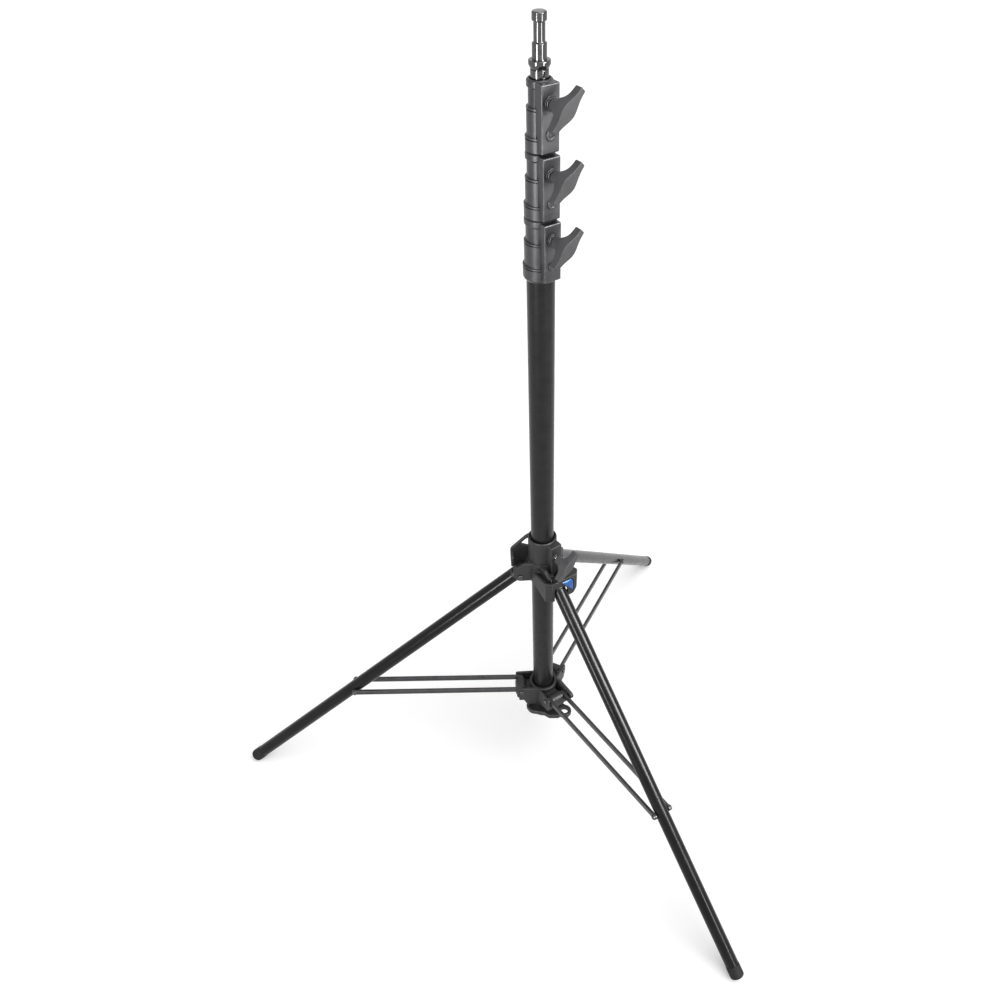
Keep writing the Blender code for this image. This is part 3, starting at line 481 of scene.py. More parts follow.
growthSteps = {"fillet": 3, "turn": 24, "tooth": 4, "core": 32, "rivet": 28, "dome": 12, "rib": 12}
domeShape = {"end": 0.97, "power": 3.0}


def newTree(name, sockets):
    tree = bpy.data.node_groups.new(name, "GeometryNodeTree")
    for label, kind in sockets.items():
        tree.interface.new_socket(name=label, in_out="INPUT", socket_type="NodeSocket" + kind)
    tree.interface.new_socket(name="Finish", in_out="INPUT", socket_type="NodeSocketMaterial")
    tree.interface.new_socket(name="Geometry", in_out="OUTPUT", socket_type="NodeSocketGeometry")
    return tree, tree.nodes.new("NodeGroupInput").outputs


def closeTree(tree, entry, shape):
    real = firstOf(tree, "GeometryNodeRealizeInstances", {0: shape})
    dressed = firstOf(tree, "GeometryNodeSetMaterial", {"Geometry": real, "Material": entry["Finish"]})
    addNode(tree, "NodeGroupOutput", {0: dressed})
    return tree


def grow(tree, finish, sizes):
    holder = bpy.data.objects.new("growing", bpy.data.meshes.new("growing"))
    bpy.context.scene.collection.objects.link(holder)
    growth = holder.modifiers.new("growth", "NODES")
    growth.node_group = tree
    for item in tree.interface.items_tree:
        if item.in_out == "INPUT":
            growth[item.identifier] = finish if item.name == "Finish" else sizes[item.name]
    return takeMesh(holder)


def vectorOf(tree, axis, value):
    return firstOf(tree, "ShaderNodeCombineXYZ", {axis: value})


def circleOf(tree, steps, radius):
    return firstOf(tree, "GeometryNodeCurvePrimitiveCircle", {"Resolution": steps, "Radius": radius})


def lineTo(tree, end, start=(0, 0, 0)):
    return firstOf(tree, "GeometryNodeCurvePrimitiveLine", {"Start": start, "End": end})


def skin(tree, path, profile, scale=1.0):
    return firstOf(tree, "GeometryNodeCurveToMesh", {
        "Curve": path, "Profile Curve": profile, "Scale": scale, "Fill Caps": True})


def makeTubeTree():
    # a wall with eased rims carried round a circle
    tree, entry = newTree("tubeTree", {"Radius": "Float", "Wall": "Float", "Length": "Float", "Ease": "Float",
                                       "Sides": "Int"})
    halfWall = addMath(tree, "MULTIPLY", entry["Wall"], 0.5)
    halfLength = addMath(tree, "MULTIPLY", entry["Length"], 0.5)
    middle = addMath(tree, "SUBTRACT", entry["Radius"], halfWall)
    wall = firstOf(tree, "GeometryNodeCurvePrimitiveQuadrilateral", {
        "Width": entry["Wall"], "Height": entry["Length"]})
    soft = firstOf(tree, "GeometryNodeFilletCurve", {
        "Curve": wall, "Radius": entry["Ease"], "Limit Radius": True, "Count": growthSteps["fillet"]},
        mode="POLY")
    swept = firstOf(tree, "GeometryNodeCurveToMesh", {
        "Curve": circleOf(tree, entry["Sides"], middle), "Profile Curve": soft})
    raised = firstOf(tree, "GeometryNodeTransform", {
        "Geometry": swept, "Translation": vectorOf(tree, "Z", halfLength)})
    return closeTree(tree, entry, raised)


def makeThreadTree():
    # a screw: a plain core with a ridge wound round it
    tree, entry = newTree("threadTree", dict.fromkeys(("Radius", "Length", "Pitch", "Depth"), "Float"))
    core = addMath(tree, "SUBTRACT", entry["Radius"], entry["Depth"])
    turns = addMath(tree, "DIVIDE", entry["Length"], entry["Pitch"])
    ridge = firstOf(tree, "GeometryNodeCurveSpiral", {
        "Resolution": growthSteps["turn"], "Rotations": turns, "Start Radius": core, "End Radius": core,
        "Height": entry["Length"]})
    tooth = circleOf(tree, growthSteps["tooth"], entry["Depth"])
    line = lineTo(tree, vectorOf(tree, "Z", entry["Length"]))
    ring = circleOf(tree, growthSteps["core"], core)
    both = tree.nodes.new("GeometryNodeJoinGeometry")
    for path, profile in ((ridge, tooth), (line, ring)):
        tree.links.new(skin(tree, path, profile), both.inputs[0])
    return closeTree(tree, entry, both.outputs[0])


def makeRivetTree():
    # two domed heads that face away from each other along Y, each on its shank
    labels = ("Shank", "Head", "Rise", "Inner", "Grip")
    tree, entry = newTree("rivetTree", dict.fromkeys(labels, "Float"))
    start = addMath(tree, "MULTIPLY", entry["Inner"], -1)
    gap = addMath(tree, "MULTIPLY", entry["Inner"], 2)
    spots = firstOf(tree, "GeometryNodeMeshLine", {
        "Count": 2, "Start Location": vectorOf(tree, "Y", start), "Offset": vectorOf(tree, "Y", gap)})
    grip = vectorOf(tree, "Z", entry["Grip"])
    crown = vectorOf(tree, "Z", addMath(tree, "ADD", entry["Grip"], entry["Rise"]))
    ring = circleOf(tree, growthSteps["rivet"], 1.0)
    shank = lineTo(tree, grip)
    dome = firstOf(tree, "GeometryNodeResampleCurve", {
        "Curve": lineTo(tree, crown, grip), "Count": growthSteps["dome"]})
    along = addNode(tree, "GeometryNodeSplineParameter").outputs["Factor"]
    share = addMath(tree, "MULTIPLY", along, domeShape["end"])
    left = addMath(tree, "SUBTRACT", 1.0, addMath(tree, "POWER", share, domeShape["power"]))
    headSize = addMath(tree, "MULTIPLY", addMath(tree, "SQRT", left, 0.0), entry["Head"])
    both = tree.nodes.new("GeometryNodeJoinGeometry")
    for line, size in ((shank, entry["Shank"]), (dome, headSize)):
        tree.links.new(skin(tree, line, ring, size), both.inputs[0])
    spot = firstOf(tree, "GeometryNodeInputPosition")
    away = firstOf(tree, "FunctionNodeAlignRotationToVector", {"Vector": spot}, axis="Z")
    pair = firstOf(tree, "GeometryNodeInstanceOnPoints", {
        "Points": spots, "Instance": both.outputs[0], "Rotation": away})
    return closeTree(tree, entry, pair)


tubeTree = makeTubeTree()
threadTree = makeThreadTree()
rivetTree = makeRivetTree()

# tubes

tubeSizes = lengths(Wall=1.5, Ease=0.45) | {"Sides": 96}
uprightTubes = {"base_tube": "baseTube", "riser_tube_1": "riserTubeLower", "riser_tube_2": "riserTubeMiddle",
                "riser_tube_3": "riserTubeUpper"}
for node, name in uprightTubes.items():
    low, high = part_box(node)
    sizes = dict(tubeSizes, Radius=radiusOf(node), Length=high.z - low.z)
    # the base tube takes the paler copy, whose paleness is a painted sheen
    finish = {"base_tube": satinPaintedSheenTube, "riser_tube_3": blackChrome}.get(node, blackTube)
    place = Matrix.Translation((mast.x, mast.y, low.z))
    addPiece(name, grow(tubeTree, finish, sizes), finish, place, [node])

legSizes = lengths(Wall=1.5, Ease=0.5, Radius=11.0) | {"Sides": 64}
footSizes = lengths(
    cap=11.4, round=4.0, crown=1.0, plug=9.2, rim=0.6, gap=0.2, worn=0.05) | {"sides": 48}


def makeFoot(tag, legPlace, tubeEnd):
    # a rubber cap, worn flat where it stands
    sizes = footSizes
    footStart, footEnd = barPlace("foot_" + tag, "leg_fold_" + tag)[1:]
    tip = footEnd - sizes["crown"]
    shoulder = tubeEnd + sizes["gap"]
    profile = [(0, footStart), (sizes["plug"], footStart), (sizes["plug"], shoulder),
               (sizes["cap"], shoulder, sizes["rim"]), (sizes["cap"], tip, sizes["round"]), (0, footEnd)]
    work = moved(turned(eased(profile, steps=6), sizes["sides"]), legPlace @ alongX)
    everything = work.verts[:] + work.edges[:] + work.faces[:]
    bmesh.ops.bisect_plane(work, geom=everything, plane_co=(0, 0, sizes["worn"]), plane_no=(0, 0, -1),
                           clear_outer=True)
    bmesh.ops.holes_fill(work, edges=[edge for edge in work.edges if edge.is_boundary])
    addPiece("footCap." + tag, meshFrom(cleaned(work), "footCap"), footRubber, Matrix(), ["foot_" + tag])


for tag in legTags:
    place, start, end = barPlace("leg_tube_" + tag, "leg_fold_" + tag)
    mesh = grow(tubeTree, blackTube, dict(legSizes, Length=end - start))
    tubePlace = place @ Matrix.Translation((start, 0, 0)) @ alongX
    addPiece("legTube." + tag, mesh, blackTube, tubePlace, ["leg_tube_" + tag])
    makeFoot(tag, place, end)
print("tubes, legs and feet made")

# top stud

studSizes = lengths(
    radius=7.94, neck=6.2, flange=12.0, head=8.2, waist=20.0, shaft=15.0, rim=4.2, taper=4.6, chamfer=1.0,
    groove=0.7, wall=1.7, fine=0.3, soft=0.5) | {"sides": 80}


def makeStud():
    sizes = studSizes
    low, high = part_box("top_stud")
    tube = radiusOf("riser_tube_3")
    bevel, fine, soft = sizes["chamfer"], sizes["fine"], sizes["soft"]
    level = high.z
    path = [(0, level), (sizes["radius"] - bevel, level, fine), (sizes["radius"], level - bevel, fine)]
    level -= sizes["head"]
    path += [(sizes["radius"], level, fine), (sizes["neck"], level - bevel, soft)]
    level -= sizes["waist"]
    path += [(sizes["neck"], level + bevel, soft), (sizes["radius"], level, fine)]
    level -= sizes["shaft"]
    path += [(sizes["radius"], level, 0.4 * mm), (sizes["flange"], level, 1.2 * mm)]
    level -= sizes["rim"]
    path += [(sizes["flange"], level, 0.8 * mm)]
    level -= sizes["taper"]
    groove = tube - sizes["groove"]
    spigot = tube - sizes["wall"]
    path += [(tube, level + sizes["groove"], fine), (groove, level + sizes["groove"] / 2), (groove, level),
             (spigot, level), (spigot, low.z), (0, low.z)]
    work = turned(eased(path), sizes["sides"])
    addPiece("topStud", meshFrom(work, "topStud"), blackChrome, mastPlace, ["top_stud"], sharp=50)


makeStud()

# clamp collars

collarSizes = lengths(
    lip=7.5, narrow=27.0, mid=56.0, height=71.5, lipOut=4.4, narrowOut=2.6, midOut=4.8, lowOut=6.6, seat=29.0,
    gap=0.35, fit=0.1, rim=1.7, proud=0.15, shy=0.1, groove=1.5, blockOut=11.0, blockHalf=11.5, blockTrim=1.2,
    blockCorner=1.6, blockEdge=1.3, root=3, mouth=1.6, over=1, screwHole=40) | {"sides": 88}
seatSizes = lengths(
    radius=8.2, out=1.6, inner=5.8, innerOut=2.5, hole=3.4, sink=3.0, floor=0.4) | {"sides": 56}
bossSizes = lengths(
    down=51.0, radius=6.6, out=1.6, hole=2.1, mouth=3.4, sink=3, floor=1.5, cone=1.2) | {"sides": 48}


def bandSteps(top, reach, upper, last):
    # a wider band starts with a proud rim and a fine groove below it
    sizes = collarSizes
    bite = reach - sizes["groove"]
    proud = reach + sizes["proud"]
    shy = reach - sizes["shy"]
    edge = top - sizes["rim"]
    return [(upper, top, 0.35 * mm), (proud, top, 0.5 * mm), (proud, edge, 0.25 * mm),
            (bite, edge - 0.1 * mm, 0.15 * mm), (bite, edge - 1.3 * mm, 0.15 * mm),
            (shy, edge - 1.4 * mm, 0.3 * mm), (shy, last, 0.4 * mm)]


def turnedSeat(sizes):
    # stepped washer seat round a clamp screw
    path = [(0, -sizes["sink"]), (sizes["radius"], -sizes["sink"]), (sizes["radius"], sizes["out"], 0.7 * mm),
            (sizes["inner"] + 0.5 * mm, sizes["out"], 0.3 * mm),
            (sizes["inner"], sizes["innerOut"], 0.5 * mm),
            (sizes["hole"] + 1.2 * mm, sizes["innerOut"], 0.4 * mm),
            (sizes["hole"] + 0.6 * mm, sizes["floor"]), (0, sizes["floor"])]
    return turned(eased(path), sizes["sides"])


def turnedBoss(sizes):
    path = [(0, -sizes["sink"]), (sizes["radius"], -sizes["sink"]), (sizes["radius"], sizes["out"], 0.9 * mm),
            (sizes["mouth"], sizes["out"], 0.4 * mm), (sizes["hole"], sizes["out"] - sizes["cone"]),
            (sizes["hole"], -sizes["floor"]), (0, -sizes["floor"])]
    return turned(eased(path), sizes["sides"])


def makeCollar(tag, innerTube, outerTube):
    sizes = collarSizes
    node = "collar_" + tag
    low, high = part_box(node)
    inner, outer = radiusOf(innerTube), radiusOf(outerTube)
    place = clampPlace(tag)
    screw = place.translation.z
    top = high.z - screw
    base = low.z - screw
    foot = top - sizes["height"]
    lip = inner + sizes["lipOut"]
    narrow = inner + sizes["narrowOut"]
    reachMid = inner + sizes["midOut"]
    reachLow = inner + sizes["lowOut"]
    path = [(0, top), (lip - 1.6 * mm, top, 0.5 * mm), (lip, top - 1.4 * mm, 0.7 * mm),
            (lip, top - sizes["lip"], 0.8 * mm), (narrow, top - sizes["lip"] - 1.2 * mm, 0.5 * mm)]
    path += bandSteps(top - sizes["narrow"], reachMid, narrow, top - sizes["mid"])
    path += bandSteps(top - sizes["mid"], reachLow, reachMid - sizes["shy"], foot)[1:]
    over = sizes["over"]
    if base < foot - over:
        path.append((outer + 1.5 * mm, base, 0.5 * mm))
    path.append((0, base))
    mouth = inner + sizes["mouth"]
    slide = inner + sizes["gap"]
    grip = outer + sizes["fit"]
    seat = top - sizes["seat"]
    bore = [(0, top + over), (mouth, top + over), (mouth, top - 0.6 * mm), (slide, top - 2.4 * mm),
            (slide, seat), (grip, seat), (grip, base - over), (0, base - over)]
    face = inner + sizes["blockOut"]
    root = inner - sizes["root"]
    trim = sizes["blockTrim"]
    cheek = block((root, face), (-sizes["blockHalf"], sizes["blockHalf"]), (foot + trim, top - trim),
                  sizes["blockCorner"], sizes["blockEdge"])
    boss = top - bossSizes["down"]
    work = combine(turned(eased(path), sizes["sides"]), [
        ("UNION", cheek),
        ("UNION", pointing(turnedSeat(seatSizes), "X", (face, 0, 0))),
        ("UNION", pointing(turnedBoss(bossSizes), "X", (face, 0, boss))),
        ("DIFFERENCE", turned(bore, sizes["sides"])),
        ("DIFFERENCE", pointing(rod(seatSizes["hole"], sizes["screwHole"]), "X", (root, 0, 0)))])
    addPiece("clampCollar." + tag, meshFrom(work, "clampCollar"), castCharcoal, place, [node])


columnTubes = ("base_tube", "riser_tube_1", "riser_tube_2", "riser_tube_3")
for index, tag in enumerate(collarTags):
    makeCollar(tag, columnTubes[index + 1], columnTubes[index])
print("stud and collars made")

# wing knobs with their screws

wingSizes = lengths(
    half=26.0, reach=28.2, tipBack=17.0, rise=5.5, fall=3.2, barrel=7.0, tipHalf=3.5, midHalf=8.6, bulge=9.0,
    corner=1.3, crown=0.9, boreGap=0.2, bore=4, boreStart=-2) | {"tilt": -45, "sections": 56, "sides": 56}
screwSizes = lengths(Radius=3.0, Pitch=1.0, Depth=0.42)


def ringOf(x, y, corner, z, steps=5):
    # rounded rectangle in X and Y at height z
    corners = [(x[0], -y, corner), (x[1], -y, corner), (x[1], y, corner), (x[0], y, corner)]
    return [(a, b, z) for a, b in eased(corners, True, steps)]


def loft(rings):
    work = bmesh.new()
    work.faces.layers.float.new("edgeWear")
    rows = [[work.verts.new(spot) for spot in ring] for ring in rings]
    for low, high in zip(rows, rows[1:]):
        for step in range(len(low)):
            after = (step + 1) % len(low)
            work.faces.new((low[step], low[after], high[after], high[step]))
    work.faces.new(list(reversed(rows[0])))
    work.faces.new(rows[-1])
    bmesh.ops.recalc_face_normals(work, faces=work.faces)
    return work


def makeWing(tag):
    sizes = wingSizes
    place = clampPlace(tag)
    start = clampSpan("knob_" + tag, place)[0]
    rings = []
    for step in range(sizes["sections"] + 1):
        z = sizes["half"] * math.sin(math.pi * (step / sizes["sections"] - 0.5))
        away = max(abs(z) - sizes["barrel"], 0)
        back = sizes["tipBack"] - sizes["rise"] * math.exp(-away / sizes["fall"])
        share = math.exp(-(z / sizes["bulge"]) ** 2 / 2)
        half = sizes["tipHalf"] + (sizes["midHalf"] - sizes["tipHalf"]) * share
        front = sizes["reach"] - sizes["crown"] * (z / sizes["half"]) ** 2
        left = sizes["half"] - abs(z)
        soft = sizes["corner"]
        if left < soft:  # the tips close with a rounded rim
            pull = soft - math.sqrt(max(soft ** 2 - (soft - left) ** 2, 0))
            back, front, half = back + pull, front - pull, half - pull
        rings.append(ringOf((back, front), half, soft, z))
    wing = loft(rings)
    barrel = [(0, 0), (sizes["barrel"] - 1.2 * mm, 0, 0.5 * mm), (sizes["barrel"], 1.4 * mm, 0.6 * mm),
              (sizes["barrel"] + 0.6 * mm, sizes["tipBack"]), (0, sizes["tipBack"])]
    bore = rod(screwSizes["Radius"] + sizes["boreGap"], sizes["bore"])
    work = combine(wing, [
        ("UNION", pointing(turned(eased(barrel), sizes["sides"]), "X", (0, 0, 0))),
        ("DIFFERENCE", pointing(bore, "X", (sizes["boreStart"], 0, 0)))])
    moved(work, Matrix.Translation((start, 0, 0)) @ Matrix.Rotation(math.radians(sizes["tilt"]), 4, "X"))
    addPiece("wingKnob." + tag, meshFrom(work, "wingKnob"), knobGrip, place, ["knob_" + tag])


def makeScrew(tag):
    place = clampPlace(tag)
    start, end = clampSpan("screw_" + tag, place)
    mesh = grow(threadTree, zincSteel, dict(screwSizes, Length=end - start))
    place = place @ Matrix.Translation((start, 0, 0)) @ alongX
    addPiece("clampScrew." + tag, mesh, zincSteel, place, ["screw_" + tag])


padSizes = lengths(radius=4.2, ease=0.5) | {"sides": 32}


def makePad(tag):
    place = clampPlace(tag)
    start, end = clampSpan("pad_" + tag, place)
    work = rod(padSizes["radius"], end - start, padSizes["sides"], padSizes["ease"])
    mesh = meshFrom(pointing(work, "X", (start, 0, 0)), "clampPad")
    addPiece("clampPad." + tag, mesh, padBrass, place, ["pad_" + tag])


for tag in clampTags:
    makeWing(tag)
    makeScrew(tag)
    makePad(tag)
print("knobs made")

# leg hub

hubSizes = lengths(
    radius=22.2, bore=19.2, foot=455, ledge=496.6, ledgeOut=2.2, step=486, stepOut=3.9, stepLow=481,
    armIn=11.5, armOut=17.0, edge=0.9, mouth=1.2, cone=2.5, inside=14, blockOut=31.0, blockNear=8.0,
    blockFar=13.0, blockTop=537, blockLow=482, blockCorner=2.2, blockEdge=1.6, pinHead=4.5, pinRoom=22,
    seatRadius=7.2, over=40, holeStart=12) | {"sides": 80}
# millimetres along and up, along and across, or across and up; a third number eases the corner
hubOutlines = {
    "cheek": [(14, 461), (40, 461, 5), (46, 467, 3), (46, 484, 4), (30, 497, 4), (14, 497)],
    "cheekPlan": [(0, 9), (47, 9), (47, 11), (45.5, 12.5, 1.2), (41, 17, 1.5), (39, 19), (0, 19)],
    "strap": [(14, 461), (40, 461, 4), (46, 467, 3), (50, 478, 3), (50, 504, 4), (24, 531.5, 8), (12, 537),
              (12, 531.5), (24, 526, 6), (32, 517.5, 2.5), (32, 513, 2.5), (20, 508.5, 2), (14, 508.5)],
    "post": [(-15.8, 478.6), (1.5, 478.6, 2), (1.5, 497, 3), (-15.8, 503.2, 2)],
    "skirt": [(-8, 466), (12, 462, 4), (46, 449, 3), (46, 485, 1), (-8, 485)],
    "corner": [(43, -25.7), (46.2, -25.7, 2), (53.7, -17.2, 2), (53.7, -13), (50, -13), (44.6, -21.9)],
    "plate": [(-17.6, 487, 2.2), (-17.6, 473.5), (3, 473.5, 3), (8, 469.5, 3), (12.2, 462.5, 2),
              (12.2, 447.5, 2.4), (23, 447.5, 4), (29, 458, 4), (29, 487, 2.5)],
    "housing": [(28, 16), (53, 16), (53, 28.5, 2), (44.5, 36, 3), (36, 33, 4), (28, 23, 3)],
    "badge": [(-1.5, 482), (20, 482), (21.5, 455.5)]}
hubLevels = {"corner": (447.8, 486.3), "housing": (458.4, 486), "plate": (49.5, 54), "post": (45.5, 49.7),
             "skirt": (-26, -21.5), "cheekPlan": (440, 520), "bezel": (53.2, 55.3), "bed": (53, 57)}
badgeSizes = lengths(
    start=53.1, corner=5.0, lip=1.4, bezel=4.0, bezelEdge=0.5, wall=1.4, crown=1.5,
    reach=7.0) | {"rings": 6, "arc": 84}


def inMm(spots):
    return [tuple(value * mm for value in spot) for spot in spots]


def sideSlab(spots, across, edge):
    # outline along and up, pushed across
    return slab(eased(inMm(spots), closed=True), across[0] * mm, across[1] * mm, edge)


def flatSlab(spots, levels, edge):
    # outline along and across, pushed up
    outline = [(x, -y) for x, y in eased(inMm(spots), closed=True)]
    work = slab(outline, levels[0] * mm, levels[1] * mm, edge)
    return moved(work, Matrix.Rotation(math.radians(90), 4, "X"))


def crossSlab(spots, along, edge):
    # outline across and up, pushed outward
    work = slab(eased(inMm(spots), closed=True, steps=6), -along[1] * mm, -along[0] * mm, edge)
    return moved(work, Matrix.Rotation(math.radians(90), 4, "Z"))


def badgeOutline(growth):
    # the badge triangle in millimetres, grown about its middle
    spots = [Vector(spot) for spot in hubOutlines["badge"]]
    middle = sum(spots, Vector((0, 0))) / len(spots)
    spots = [spot + (spot - middle).normalized() * growth / mm for spot in spots]
    return [(spot.x, spot.y, badgeSizes["corner"] / mm) for spot in spots]


def domedBadge():
    # a glossy dome that rises from a short wall
    sizes = badgeSizes
    rings = []
    for step in range(-1, sizes["rings"]):
        turn = math.radians(sizes["arc"] * max(step, 0) / (sizes["rings"] - 1))
        out = sizes["start"] + (sizes["wall"] if step >= 0 else 0) + sizes["crown"] * math.sin(turn)
        spots = eased(inMm(badgeOutline(-sizes["reach"] * (1 - math.cos(turn)))), closed=True, steps=6)
        rings.append([(out, across, level) for across, level in spots])
    return loft(rings)


def hubCheek(side):
    # one wall of an arm, its outer corner cut off
    across = (hubSizes["armIn"] / mm, hubSizes["armOut"] / mm)
    wall = sideSlab(hubOutlines["cheek"], across, hubSizes["edge"])
    plan = flatSlab(hubOutlines["cheekPlan"], hubLevels["cheekPlan"], 0)
    wall = combine(wall, [("INTERSECT", plan)])
    if side < 0:
        moved(wall, Matrix.Scale(-1, 4, (0, 1, 0)))
        bmesh.ops.reverse_faces(wall, faces=wall.faces)
    return wall


def hubFront():
    # the wide apron of the front arm: skirt, corner, end plate and badge housing
    edge = hubSizes["edge"]
    return [sideSlab(hubOutlines["skirt"], hubLevels["skirt"], edge),
            flatSlab(hubOutlines["corner"], hubLevels["corner"], edge),
            crossSlab(hubOutlines["plate"], hubLevels["plate"], edge),
            flatSlab(hubOutlines["housing"], hubLevels["housing"], edge)]


def hubLeft():
    # the strap with its gap, and the post that closes the arm's end
    across = (-hubSizes["armOut"] / mm, -hubSizes["armIn"] / mm)
    return [sideSlab(hubOutlines["strap"], across, hubSizes["edge"]),
            crossSlab(hubOutlines["post"], hubLevels["post"], hubSizes["edge"])]


def hubBarrel(low, high):
    sizes = hubSizes
    radius = sizes["radius"]
    ledge = radius + sizes["ledgeOut"]
    step = radius + sizes["stepOut"]
    path = [(0, low), (radius, low, 0.8 * mm), (radius, sizes["stepLow"] - 3 * mm),
            (step, sizes["stepLow"], 0.6 * mm), (step, sizes["step"], 0.8 * mm),
            (ledge, sizes["step"] + 0.4 * mm, 0.3 * mm), (ledge, sizes["ledge"], 0.8 * mm),
            (radius, sizes["ledge"] + 0.5 * mm, 0.4 * mm), (radius, high - 1.4 * mm, 0.6 * mm),
            (radius - 1.2 * mm, high, 0.5 * mm), (0, high)]
    return turned(eased(path), sizes["sides"])


def makeLegHub():
    sizes = hubSizes
    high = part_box("leg_hub")[1].z
    places = {tag: mastPlace.inverted() @ armPlace(tag) for tag in legTags}
    steps = [("UNION", moved(hubCheek(1), places[tag])) for tag in legTags]
    steps += [("UNION", moved(hubCheek(-1), places[tag])) for tag in ("front", "rear")]
    steps += [("UNION", moved(shape, places["left"])) for shape in hubLeft()]
    steps += [("UNION", moved(shape, places["front"])) for shape in hubFront()]
    clamp = mastPlace.inverted() @ clampPlace("hub")
    screw = clamp.translation.z
    clampBlock = block((sizes["inside"], sizes["blockOut"]), (-sizes["blockNear"], sizes["blockFar"]),
                       (sizes["blockLow"] - screw, sizes["blockTop"] - screw), sizes["blockCorner"],
                       sizes["blockEdge"])
    steps.append(("UNION", moved(clampBlock, clamp)))
    seat = dict(seatSizes, radius=sizes["seatRadius"])
    steps.append(("UNION", moved(pointing(turnedSeat(seat), "X", (sizes["blockOut"], 0, 0)), clamp)))
    over = sizes["over"]
    mouth = sizes["bore"] + sizes["mouth"]
    under = sizes["foot"] - over
    bore = [(0, under), (sizes["bore"], under), (sizes["bore"], high - sizes["cone"]), (mouth, high),
            (mouth, high + over), (0, high + over)]
    steps.append(("DIFFERENCE", turned(bore, sizes["sides"])))
    hole = pointing(rod(seatSizes["hole"], over), "X", (sizes["holeStart"], 0, 0))
    steps.append(("DIFFERENCE", moved(hole, clamp)))
    pivot = joints["leg_fold_front"]["pos_m"]
    reach = (Vector(pivot) - mast).to_2d().length
    headRoom = pointing(rod(sizes["pinHead"], sizes["pinRoom"]), "Y", (reach, sizes["armOut"], pivot[2]))
    steps.append(("DIFFERENCE", moved(headRoom, places["front"])))
    bezel = crossSlab(badgeOutline(badgeSizes["bezel"]), hubLevels["bezel"], badgeSizes["bezelEdge"])
    bed = crossSlab(badgeOutline(badgeSizes["lip"]), hubLevels["bed"], 0)
    steps += [("UNION", moved(bezel, places["front"])), ("DIFFERENCE", moved(bed, places["front"]))]
    work = combine(hubBarrel(sizes["foot"], high), steps)
    addPiece("legHub", meshFrom(work, "legHub"), hubPlastic, mastPlace, ["leg_hub"])
    addPiece("hubBadge", meshFrom(domedBadge(), "hubBadge"), badgeBlue, armPlace("front"), ["hub_badge"])


linerSizes = lengths(gap=0.35, mouth=0.4, edge=0.2) | {"sides": 80}


def makeLiner():
    sizes = linerSizes
    low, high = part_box("hub_liner")
    inner = radiusOf("base_tube") + sizes["gap"]
    outer = radiusOf("hub_liner")
    path = [(inner, low.z, sizes["mouth"]), (outer, low.z, sizes["edge"]), (outer, high.z, sizes["edge"]),
            (inner, high.z, sizes["mouth"])]
    mesh = meshFrom(turned(eased(path, closed=True), sizes["sides"]), "hubLiner")
    addPiece("hubLiner", mesh, hubPlastic, mastPlace, ["hub_liner"])


makeLegHub()
makeLiner()
print("leg hub made")

# brace hub

lowSizes = lengths(
    radius=23.5, rim=190, rimOut=1.2, rimHigh=7, mouth=2.6, fit=0.15, over=20, sink=6, edge=0.9, soft=2.0,
    loopReach=49.0, loopRadius=13.0, loopHole=7.5, loopHalf=11.0, loopRoot=12, loopTrim=0.6, loopRound=2.6,
    holeLong=40, holeUnder=15) | {"sides": 80, "loopAzimuth": -43, "loopSides": 56, "holeSides": 48}
lowOutlines = {  # millimetres along and up, along and across; a third number eases the corner
    "cheek": [(10, 158), (34, 158, 4), (49, 169, 4), (49, 190, 4), (10, 190)],
    "core": [(14, 164), (50, 164, 3), (51, 173, 4), (49.5, 181, 4), (45, 187, 5), (35, 187, 5), (31, 179, 3),
             (14, 179)],
    "web": [(12, 158.6), (45, 158.6, 1), (45, 166, 1), (12, 166)],
    "thumb": [(13, 174), (51, 174, 6), (62, 184, 7), (60, 193, 6), (13, 193, 6)],
    "gusset": [(14, 131), (27, 131), (28, 139, 4), (38, 161), (14, 161)],
    "flange": [(-10, 0), (-32, -14, 3), (-32, -20, 4), (-26, -31, 6), (-1.5, -37.5, 4), (7.5, -45, 3),
               (27, -46, 4), (30, -30), (10, 0)],
    "well": [(-26, -16, 2), (-27.5, -20, 2), (-23, -27, 4), (-5, -32, 3), (-2, -27, 2), (-17, -17, 2)]}
lowLevels = {"cheek": (17.4, 21.6), "core": (-11.2, 11.2), "web": (-21, 21), "thumb": (18.4, 25),
             "gusset": (16.4, 20.6), "flange": (130, 139), "well": (137, 145)}
ribSizes = lengths(Pitch=4.0, Radius=0.8, Width=4.4) | {"Count": 10}
ribStart = (18.5 * mm, 19.5 * mm, 193.1 * mm)


def makeRibTree():
    # a row of round bars along X, each running across Y
    tree, entry = newTree("ribTree", {"Count": "Int", "Pitch": "Float", "Radius": "Float", "Width": "Float"})
    row = firstOf(tree, "GeometryNodeMeshLine", {
        "Count": entry["Count"], "Offset": vectorOf(tree, "X", entry["Pitch"])})
    ring = circleOf(tree, growthSteps["rib"], entry["Radius"])
    bar = skin(tree, lineTo(tree, vectorOf(tree, "Y", entry["Width"])), ring)
    ribs = firstOf(tree, "GeometryNodeInstanceOnPoints", {"Points": row, "Instance": bar})
    return closeTree(tree, entry, ribs)


def grownRibs():
    mesh = grow(makeRibTree(), hubPlastic, ribSizes)
    work = bmesh.new()
    work.from_mesh(mesh)
    bpy.data.meshes.remove(mesh)
    return moved(cleaned(work), Matrix.Translation(ribStart))


def lowArm():
    # core, web and two cheeks of one arm
    edge = lowSizes["edge"]
    inner, outer = lowLevels["cheek"]
    shapes = [sideSlab(lowOutlines[key], lowLevels[key], edge) for key in ("core", "web")]
    shapes.append(sideSlab(lowOutlines["cheek"], (inner, outer), edge))
    shapes.append(sideSlab(lowOutlines["cheek"], (-outer, -inner), edge))
    return shapes


